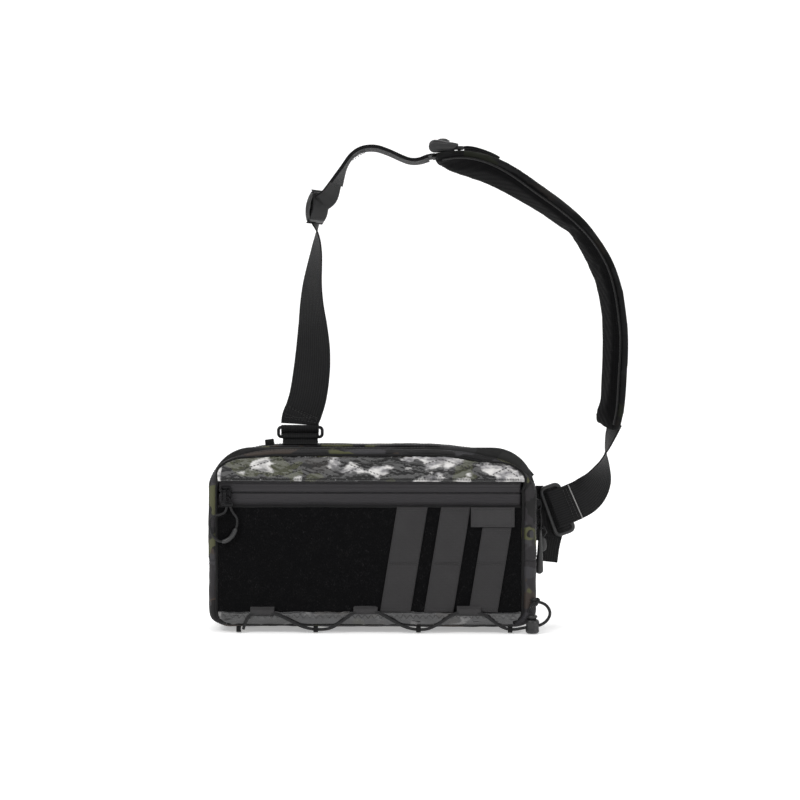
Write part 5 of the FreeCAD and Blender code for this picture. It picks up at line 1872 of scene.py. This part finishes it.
@dataclass
class Fittings:
    """Ring, tri-glide, ladder lock, buckle, tabs, sliders and the cord lock."""

    size: BagSize = BAG
    plane: float = 24.0

    def build(self) -> None:
        """Makes the fittings, then dresses the frame's own nodes that stay in view."""
        self.ring()
        glide_along = unit(np.array([0.16, 0.0, 0.987]))
        outward = np.array([-glide_along[2], 0.0, glide_along[0]])
        turn = math.radians(-22.0)
        glide_across = np.array([0.0, 1.0, 0.0]) * math.cos(turn) + outward * math.sin(turn)
        self.bar_frame("tri_glide_frame", (49.0, 30.0, 3.4), (3.6, 4.4), (-56.2, self.plane, 421.0),
                       glide_across, glide_along, "tri_glide", 9.5)
        self.wrap("glide_wrap", (-56.2, self.plane, 421.0), glide_across, glide_along, 17.0, 3.9)
        lock_along = unit(np.array([-0.94, 0.0, -0.342]))
        lock_across = np.array([-lock_along[2], 0.0, lock_along[0]])
        self.bar_frame("ladder_lock_frame", (54.0, 22.0, 4.6), (3.2, 3.2),
                       (185.5, self.plane + 3.4, 116.0),
                       lock_across, lock_along, "ladder_lock")
        self.wrap("lock_wrap", (185.5, self.plane + 3.4, 116.0), lock_across, lock_along, 9.6, 4.0,
                  45.0)
        self.tabs()
        self.small_tabs()
        self.buckle()
        self.mouth_pulls()
        self.pocket_slider()
        self.lock()
        self.dress()

    def ring(self) -> None:
        """A wire ring: a round section carried round a rectangle with rounded corners."""
        path = rounded_loop(44.2, 9.7, 3.0, 90)
        centres = xyz(path[:, 0] - 74.0, self.plane, path[:, 1] + 194.55)
        tangent = tangents(centres, closed=True)
        side = np.broadcast_to([0.0, 1.0, 0.0], centres.shape)
        made = carry("wire_ring", superellipse(3.2, 3.2, 2.0, 16), centres, side,
                     np.cross(tangent, side),
                     RING_METAL, closed=True)
        ride(made, Body.STRAP, "left_ring", slot="ring_metal")

    def bar_frame(self, name: str, sizes: Sequence[float], borders: Sequence[float],
                  centre: Sequence[float],
                  across: Array, along: Array, node: str, corner: float = 4.6) -> None:
        """A moulded frame with one middle bar: a rounded section round a loop, and a bar across."""
        long_side, short_side, thick = sizes
        path = rounded_loop(long_side - 4.5, short_side - borders[0], corner, 110)
        normal = np.cross(across, along)
        centres = np.asarray(centre, float) + path[:, :1] * across + path[:, 1:] * along
        tangent = tangents(centres, closed=True)
        face = np.broadcast_to(normal, centres.shape)
        side = np.cross(tangent, face)
        outline = carry("outline", superellipse(4.2, thick, 3.2, 22), centres, side, face, PLASTIC,
                        closed=True)
        vertices, faces = lump_arrays((long_side - 5.0, borders[1], thick * 0.9), 5.0, 14, 40)
        place = vertices @ np.stack([across, along, normal]) + np.asarray(centre, float)
        bar = piece("bar", place, faces, PLASTIC)
        ribs = []
        for offset in np.linspace(-long_side / 2 + 9.0, long_side / 2 - 9.0, 13):
            vertices, faces = lump_arrays((1.0, borders[1] + 0.4, thick * 0.98), 3.0, 8, 10)
            place = vertices @ np.stack([across, along,
                                         normal]) + np.asarray(centre, float) + across * offset
            ribs.append(piece("rib", place, faces, PLASTIC))
        made = merged(name, [outline, bar] + ribs)
        face_outwards(made)
        ride(made, Body.STRAP, node, slot="moulded_plastic")

    def wrap(self, name: str, centre: Sequence[float], across: Array, along: Array, reach: float,
             rise: float, width: float = 37.0) -> None:
        """Webbing that passes over a frame's middle bar: a low arch across both windows."""
        normal = np.cross(across, along)
        if normal[1] > 0.0:
            normal = -normal
        share = np.linspace(-1.0, 1.0, 60)
        height = rise * np.cos(share * math.pi / 2) ** 0.8 - 0.9
        path = np.asarray(centre,
                          float) + (share * reach)[:, None] * along + height[:, None] * normal
        section = rounded_section(width, 1.6, 0.7, 3, 10)
        over = carry("over", section, path, np.broadcast_to(across, path.shape),
                     np.broadcast_to(normal, path.shape), STRAP_WEB)
        back = np.asarray(centre, float) + (share * reach * 0.86)[:, None] * along
        back = back - (height * 0.9 + 1.2)[:, None] * normal
        under = carry("under", section, back, np.broadcast_to(across, path.shape),
                      np.broadcast_to(normal, path.shape), STRAP_WEB)
        ride(merged(name, [over, under]), Body.STRAP, slot="webbing")

    def tabs(self) -> None:
        """The folded tab that holds the ring, the right anchor and the left grip tab."""
        turn = np.linspace(-0.22 * math.pi, 1.22 * math.pi, 34)
        arch = np.stack([5.0 * np.cos(turn), 189.9 + 3.0 * np.sin(turn)], axis=-1)
        foot = np.linspace(13.0, 5.4, 7)
        level = np.full(7, 187.0 - self.size.sag)
        profile = np.concatenate([np.stack([foot, level], axis=-1), arch,
                                  np.stack([-foot[::-1], level], axis=-1)])
        curve = spline(np.column_stack([profile, np.zeros(len(profile))]), 90)
        path = xyz(-74.0, self.plane - 1.0 + curve[:, 0], curve[:, 1])
        tangent = tangents(path)
        across = np.broadcast_to([1.0, 0.0, 0.0], path.shape)
        made = carry("ring_tab", rounded_section(35.0, 1.2, 0.5, 2, 9), path, across,
                     np.cross(tangent, across),
                     STRAP_WEB)
        ride(made, Body.BAG, "left_anchor_tab", slot="webbing")
        z = np.linspace(84.0, 126.0, 30)
        share = np.linspace(0.0, 1.0, 8)
        x = 162.4 + share[None, :] * 4.8 * np.ones((30, 1))
        points = xyz(x, self.plane + 6.9, z[:, None])
        made = slab("side_anchor", points, FRONT, 2.6, STRAP_WEB)
        ride(made, Body.BAG, "right_anchor_tab", slot="webbing")
        z, y = np.linspace(77.0, 92.0, 16), np.linspace(14.0, 30.0, 16)
        grid_y, grid_z = np.meshgrid(y, z)
        bulge = 1.2 * np.cos((grid_z - 84.5) / 15.0 * math.pi) ** 2
        points = xyz(-self.size.half_width - 1.1 - bulge, grid_y, grid_z)
        made = slab("grip_tab", points, np.array([-1.0, 0.0, 0.0]), 1.4, TAB_WEB)
        ride(made, Body.BAG, "side_tab_left", slot="webbing")

    def buckle(self) -> None:
        """The release buckle: a wedge-shaped body, a domed button, side guides and prongs."""
        outline = spline([(55.4, 482.0, 0), (56.6, 486.0, 0), (60.2, 488.3, 0), (65.0, 488.2, 0),
                          (74.0, 486.6, 0),
                          (83.4, 484.9, 0), (84.8, 483.2, 0), (81.0, 477.8, 0), (77.0, 476.4, 0),
                          (68.0, 476.0, 0),
                          (60.0, 475.8, 0), (56.4, 478.2, 0), (55.4, 482.0, 0)], 72)[:-1, :2]
        body = self.billet("body", outline, self.plane, 20.0, 2.2)
        guides = []
        for side in (-1, 1):
            rail = outline * np.array([1.0, 0.55]) + np.array([0.0, 482.0 * 0.45])
            guides.append(self.billet("guide", rail, self.plane + side * 18.8, 2.6, 0.9))
        well = self.turned("well", [(5.3, 0.0), (6.6, 0.0), (6.9, 0.7), (6.3, 1.5), (5.5, 1.3)],
                           (69.5, self.plane, 486.6))
        ride(merged("buckle_body", [body, well] + guides), Body.STRAP, "buckle_female",
             slot="moulded_plastic")
        dome = [(0.0, -3.0), (4.7, -3.0), (5.1, -2.4), (5.15, 0.9), (4.5, 1.9), (2.6, 2.5),
                (0.0, 2.7)]
        button = self.turned("release_button", dome, (69.5, self.plane, 487.2), poles=True)
        ride(button, Body.BUCKLE_BUTTON, "buckle_button", slot="moulded_plastic")
        prongs = [self.billet("stem", rounded_loop(9.0, 3.4, 1.2, 40) + np.array([84.8, 480.2]),
                              self.plane, 5.0, 0.8)]
        for side in (-1, 1):
            prongs.append(self.billet("side",
                                      rounded_loop(12.0, 3.8, 1.4, 40) + np.array([84.6, 480.3]),
                                      self.plane + side * 12.6, 2.8, 0.8))
        prongs.append(self.billet("bar", rounded_loop(3.4, 3.8, 1.5, 36) + np.array([88.6, 480.1]),
                                  self.plane, 15.6, 0.9))
        ride(merged("buckle_prongs", prongs), Body.STRAP, "buckle_male", slot="moulded_plastic")

    def billet(self, name: str, outline: Array, middle: float, half: float,
               soft: float) -> bpy.types.Object:
        """An outline in X and Z carried along Y, drawn in at both ends by a quarter round."""
        turn = np.linspace(0.0, math.pi / 2, 6)
        place = np.concatenate([-half + soft * (1 - np.sin(turn[::-1])),
                                half - soft * (1 - np.sin(turn))])
        shrink = np.concatenate([soft * (1 - np.cos(turn[::-1])), soft * (1 - np.cos(turn))])
        centre = outline.mean(axis=0)
        inward = unit(centre - outline)
        ring = outline[None] + inward[None] * shrink[:, None, None]
        points = xyz(ring[..., 0], middle + place[:, None], ring[..., 1])
        return tube(name, points, PLASTIC)

    def turned(self, name: str, profile: Sequence[Sequence[float]], centre: Sequence[float],
               poles: bool = False) -> bpy.types.Object:
        """A (radius, height) profile turned about Z; without poles it is a ring's section."""
        shape = np.asarray(profile, float)
        turn = np.linspace(0.0, 2.0 * math.pi, 40, endpoint=False)
        inner = shape[1:-1] if poles else shape
        points = xyz(inner[:, :1] * np.cos(turn), inner[:, :1] * np.sin(turn),
                     inner[:, 1:]).reshape(-1, 3)
        faces = quads(len(inner), 40, close_rows=not poles, close_columns=True).tolist()
        if poles:
            low, high, last = len(points), len(points) + 1, (len(inner) - 1) * 40
            points = np.concatenate([points, [[0.0, 0.0, shape[0, 1]], [0.0, 0.0, shape[-1, 1]]]])
            for j in range(40):
                faces.append([low, (j + 1) % 40, j])
                faces.append([high, last + j, last + (j + 1) % 40])
        made = piece(name, points + np.asarray(centre, float), faces, PLASTIC)
        face_outwards(made)
        return made

    def spindle(self, stations: Sequence[Sequence[float]]) -> bpy.types.Object:
        """A hanging drop: rows of x, y, z and the half widths in X and Y, top to bottom."""
        table = np.asarray(stations, float)
        walked = np.concatenate([[0.0], np.cumsum(np.abs(np.diff(table[:, 2])))])
        even = np.linspace(0.0, walked[-1], 60)
        rows = sampled(table, walked, even)
        kernel = np.array([1.0, 2.0, 3.0, 2.0, 1.0]) / 9.0
        for k in (0, 1, 3, 4):
            rows[:, k] = np.convolve(np.pad(rows[:, k], 2, mode="edge"), kernel, mode="valid")
        ends = np.minimum(even, walked[-1] - even)
        close = np.sqrt(1.0 - (1.0 - np.clip(ends / 2.6, 0.04, 1.0)) ** 2)
        section = superellipse(2.0, 2.0, 2.5, 24)
        points = xyz(rows[:, :1] + section[None, :, 0] * (rows[:, 3] * close)[:, None],
                     rows[:, 1:2] + section[None, :, 1] * (rows[:, 4] * close)[:, None],
                     rows[:, 2:3])
        return tube("drop", points, GREY_PLASTIC)

    def strand(self, name: str, route: Sequence[Sequence[float]], thick: float, finish: Finish,
               closed: bool = False) -> bpy.types.Object:
        """A thin round rod or strand along a smooth curve through a few points."""
        p = np.asarray(route, float)
        if closed:
            p = np.concatenate([p, p[:1]])
        walked = lengths_along(p)
        even = np.linspace(0.0, walked[-1], 56, endpoint=not closed)
        path = sampled(p, walked, even)
        for _ in range(4):
            if closed:
                path = (np.roll(path, 1, axis=0) + path + np.roll(path, -1, axis=0)) / 3.0
            else:
                path[1:-1] = (path[:-2] + path[1:-1] + path[2:]) / 3.0
        tangent = tangents(path, closed)
        side = unit(np.cross(tangent, [0.31, 0.9, 0.2]))
        return carry(name, superellipse(thick, thick, 2.0, 10), path, side, np.cross(tangent, side),
                     finish, closed)

    def mouth_pulls(self) -> None:
        """Each main slider's bridge and its pull: a link, a doubled cord and a moulded drop."""
        sliders = (("upper", 118.0, -3.2, Body.UPPER_SLIDER, Body.UPPER_PULL),
                   ("lower", 100.0, 3.2, Body.LOWER_SLIDER, Body.LOWER_PULL))
        side = self.size.half_width
        for name, low, lane, slider, pull in sliders:
            arch = [(side + 1.4, lane, low + 1.6), (side + 4.0, lane, low + 2.6),
                    (side + 5.4, lane, low + 5.6),
                    (side + 5.2, lane, low + 9.4), (side + 3.4, lane, low + 11.0),
                    (side + 1.4, lane, low + 11.2)]
            parts = [self.strand("arch", [(x, y - 2.25, z) for x, y, z in arch], 1.3, ZIP_METAL),
                     self.strand("arch", [(x, y + 2.25, z) for x, y, z in arch], 1.3, ZIP_METAL)]
            nose = lump("nose", (side + 0.9, 0.0, low + 6.0), (2.6, 12.4, 12.6), ZIP_METAL,
                        power=3.2)
            ride(merged(f"{name}_slider_top", parts + [nose]), slider, slot="zip_metal")
            x, pin = side + 4.0, low + 8.0
            link = [(x, lane - 1.5, pin), (x + 0.5, lane - 2.2, pin - 5.0),
                    (x + 0.5, lane - 1.6, pin - 11.0),
                    (x + 0.5, lane + 1.6, pin - 11.0), (x + 0.5, lane + 2.2, pin - 5.0),
                    (x, lane + 1.5, pin)]
            metal = self.strand("link", link, 1.25, ZIP_METAL, closed=True)
            ride(metal, pull, slot="zip_metal").name = f"{name}_pull_link"
            if name == "upper":
                drop = self.spindle([(x + 0.6, lane, 100.0, 1.5, 1.5),
                                     (x + 0.4, lane, 92.0, 1.9, 1.8),
                                             (x + 0.2, lane, 78.0, 2.5, 2.2),
                                             (x - 0.1, lane, 66.0, 3.6, 2.6),
                                             (x - 0.2, lane, 58.0, 4.0, 2.8),
                                             (x - 0.2, lane, 54.6, 3.4, 2.4)])
                cords = [self.strand("line", [(x + 0.5, lane - 0.6, pin - 10.6),
                                              (x + 1.6, lane - 1.0, pin - 17.0),
                                              (x + 0.8, lane - 0.4, 99.0)], 1.7, CORD),
                         self.strand("line", [(x + 0.5, lane + 0.6, pin - 10.6),
                                              (x - 0.2, lane + 1.0, pin - 18.0),
                                              (x + 0.4, lane + 0.4, 99.0)], 1.7, CORD)]
            else:
                drop = self.spindle([(x + 2.2, lane, 92.0, 2.2, 1.8),
                                     (x + 3.0, lane, 88.0, 3.6, 2.3),
                                             (x + 3.2, lane, 82.0, 4.0, 2.6),
                                             (x + 3.0, lane, 76.6, 3.4, 2.2)])
                cords = [self.strand("line", [(x + 0.5, lane - 0.6, pin - 10.4),
                                              (x + 4.2, lane - 1.0, pin - 6.0),
                                              (x + 6.8, lane - 0.6, pin - 12.0),
                                              (x + 3.2, lane - 0.4, 91.0)], 1.7, CORD),
                         self.strand("line", [(x + 0.5, lane + 0.6, pin - 10.4),
                                              (x + 0.6, lane + 1.0, 95.0),
                                              (x + 2.2, lane + 0.4, 91.0)], 1.7, CORD)]
            ride(merged(f"{name}_pull_drop", [drop]), pull, f"mouth_pull_{name}",
                 slot="moulded_plastic")
            ride(merged(f"{name}_pull_strands", cords), pull, slot="elastic_cord")

    def pocket_slider(self) -> None:
        """The pocket slider's rounded top, its bridge and the link that takes the pull cord."""
        nose = lump("nose", (-144.9, -38.9, 139.5), (10.4, 2.8, 12.4), ZIP_METAL, power=3.2)
        arch = [(-148.6, -39.4, 136.0), (-148.6, -42.6, 136.6), (-148.4, -44.2, 139.6),
                (-148.2, -43.8, 142.6),
                (-148.6, -41.6, 144.0), (-148.6, -39.4, 144.2)]
        parts = [self.strand("arch", arch, 1.5, ZIP_METAL),
                 self.strand("arch", [(x + 6.2, y, z) for x, y, z in arch], 1.5, ZIP_METAL)]
        ride(merged("pocket_slider_top", parts + [nose]), Body.POCKET_SLIDER, slot="zip_metal")
        link = [(-147.6, -43.2, 141.0), (-148.2, -44.6, 136.0), (-148.6, -45.0, 129.4),
                (-138.4, -45.0, 129.4),
                (-140.8, -44.8, 134.5), (-143.4, -44.0, 137.5), (-144.0, -43.2, 141.0)]
        ride(self.strand("pocket_pull_link", link, 1.5, ZIP_METAL, closed=True), Body.POCKET_PULL,
             slot="zip_metal")
        crimp = lump("pocket_pull_crimp", (-143.2, -44.5, 128.7), (12.4, 4.2, 4.6), ZIP_METAL,
                     power=3.4)
        ride(crimp, Body.POCKET_PULL, slot="zip_metal")

    def lock(self) -> None:
        """The cord lock: a ribbed barrel open at its top, and its domed plunger."""
        wall = [(4.4, 2.8), (4.4, 13.4), (5.0, 14.0), (6.0, 13.6), (6.6, 12.4), (6.9, 10.6),
                (6.5, 9.6), (6.5, 4.6),
                (6.9, 3.6), (6.5, 1.4), (5.4, 0.5), (0.4, 0.4), (0.4, 2.6)]
        body = self.turned("lock_barrel", wall, (159.0, -40.0, 0.0))
        ride(body, Body.BAG, "cord_lock_body", slot="moulded_plastic")
        top = [(0.0, 6.3), (3.7, 6.3), (3.9, 7.0), (3.9, 15.4), (4.9, 16.2), (4.9, 17.6),
               (3.6, 18.6), (0.0, 19.0)]
        plunger = self.turned("lock_plunger", top, (159.0, -40.0, 0.0), poles=True)
        ride(plunger, Body.LOCK_BUTTON, "cord_lock_button", slot="moulded_plastic")

    def small_tabs(self) -> None:
        """Two folded tabs that stand out of the top seam, one near each end of the main zip."""
        for name, place, lean, wide, tall in (("corner_tab", (154.6, 12.0, 154.2), 49.0, 11.0, 4.6),
                                              ("top_tab", (-104.6, 22.0, 181.6), -8.0, 9.0, 6.0)):
            turn = np.linspace(0.0, math.pi, 26)
            angle = math.radians(lean)
            outward = np.array([math.sin(angle), 0.0, math.cos(angle)])
            path = np.asarray(place) + (tall * np.sin(turn) ** 0.7 - 0.6)[:, None] * outward
            path[:, 1] += 1.7 * np.cos(turn)
            across = np.broadcast_to([math.cos(angle), 0.0, -math.sin(angle)], path.shape)
            tangent = tangents(path)
            made = carry(name, rounded_section(wide, 1.1, 0.5, 2, 6), path, across,
                         np.cross(tangent, across), BINDING)
            ride(made, Body.BAG, slot="webbing")

    def dress(self) -> None:
        """Gives each frame node that stays visible its finish."""
        finishes: dict[Finish, tuple[str, ...]] = {
            ZIP_METAL: ("pocket_slider", "mouth_slider_upper", "mouth_slider_lower",
                        "pocket_pull_tab"),
            LINING: ("inner_pocket", "back_padding", "pocket_backing"),
        }
        for finish, nodes in finishes.items():
            for name in nodes:
                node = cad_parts[name]
                node.data.materials.clear()
                node.data.materials.append(finish.material())


def rounded_loop(width: float, height: float, corner: float, count: int) -> Array:
    """A closed rounded rectangle about the origin, evenly spaced by length."""
    half_w, half_h = width / 2 - corner, height / 2 - corner
    points = []
    for index, (sx, sy) in enumerate(((1, 1), (-1, 1), (-1, -1), (1, -1))):
        turn = np.linspace(0.0, math.pi / 2, 12) + index * math.pi / 2
        points.append(np.stack([sx * half_w + corner * np.cos(turn),
                                sy * half_h + corner * np.sin(turn)], axis=-1))
    line = np.concatenate(points + [points[0][:1]])
    walked = lengths_along(line)
    even = np.linspace(0.0, walked[-1], count, endpoint=False)
    return sampled(line, walked, even)


# ------------------------------------------------------------------ the studio


@dataclass
class Studio:
    """Camera, soft lights and a pale curved floor."""

    aim: tuple[float, float, float] = (0.027, 0.0, 0.229)
    distance: float = 3.0
    azimuth: float = 1.0
    elevation: float = 4.5
    lens: float = 135.0

    def build(self) -> None:
        """Sets up the view, then light, then floor."""
        self.camera()
        self.lights()
        self.floor()

    def camera(self) -> None:
        """A long lens, a little above the object and to its right."""
        turn, lift = math.radians(self.azimuth), math.radians(self.elevation)
        away = Vector((math.sin(turn) * math.cos(lift), -math.cos(turn) * math.cos(lift),
                       math.sin(lift)))
        data = bpy.data.cameras.new("camera")
        data.lens = self.lens
        data.sensor_width = 36.0
        made = bpy.data.objects.new("camera", data)
        bpy.context.scene.collection.objects.link(made)
        made.location = Vector(self.aim) + away * self.distance
        made.rotation_euler = (-away).to_track_quat("-Z", "Y").to_euler()
        bpy.context.scene.camera = made

    def lights(self) -> None:
        """Three large soft boxes and an even white surround."""
        world = bpy.data.worlds.new("studio")
        world.use_nodes = True
        background = world.node_tree.nodes["Background"]
        background.inputs["Color"].default_value = (1.0, 1.0, 1.0, 1.0)
        background.inputs["Strength"].default_value = 0.42
        bpy.context.scene.world = world
        bpy.context.scene.view_settings.view_transform = "Standard"
        for name, place, size, power in (("key", (-1.3, -1.7, 1.9), 1.2, 34.0),
                                         ("fill", (1.8, -1.4, 0.9), 1.4, 14.0),
                                         ("top", (0.1, 0.3, 2.2), 1.3, 16.0)):
            data = bpy.data.lights.new(name, "AREA")
            data.size = size
            data.energy = power
            made = bpy.data.objects.new(name, data)
            made.location = place
            made.rotation_euler = (Vector(self.aim) - Vector(place)).to_track_quat("-Z",
                                                                                   "Y").to_euler()
            bpy.context.scene.collection.objects.link(made)

    def floor(self) -> None:
        """A floor that sweeps up behind: flat, then a quarter round, then a wall."""
        turn = np.linspace(0.0, math.pi / 2, 24)
        depth = np.concatenate([[-5000.0], 1600.0 + 1500.0 * np.sin(turn), [3100.0]])
        height = np.concatenate([[0.0], 1500.0 * (1.0 - np.cos(turn)), [5000.0]])
        x = np.linspace(-6000.0, 6000.0, 4)
        grid = xyz(x[None, :], depth[:, None], height[:, None] - 0.2)
        made = piece("studio_floor", grid.reshape(-1, 3), quads(len(depth), 4), Backdrop())


@dataclass(frozen=True)
class Backdrop(Finish):
    """Matt white paper."""

    title: str = "white paper"

    def build(self, g: Graph, shader: bpy.types.Node) -> None:
        """White with the faintest clouding."""
        place = g.place()
        cloud = g.noise(place, 2.0, 2.0)
        g.feed(shader.inputs["Base Color"], g.mix(cloud, paint("f7f7f7"), paint("fbfbfb")))
        shader.inputs["Roughness"].default_value = 0.95
        shader.inputs["Emission Color"].default_value = (1.0, 1.0, 1.0, 1.0)
        shader.inputs["Emission Strength"].default_value = 0.35


def main() -> None:
    """Builds the studio and cords first, then the bag outwards from its body."""
    logging.basicConfig(level=logging.INFO, format="%(message)s")
    Studio().build()
    for part in (Cords(), BagBody(), FrontField(), Zips(), Loop(), Fittings()):
        part.build()
        LOG.info("%s finished", type(part).__name__)


if __name__ == "__main__":
    main()
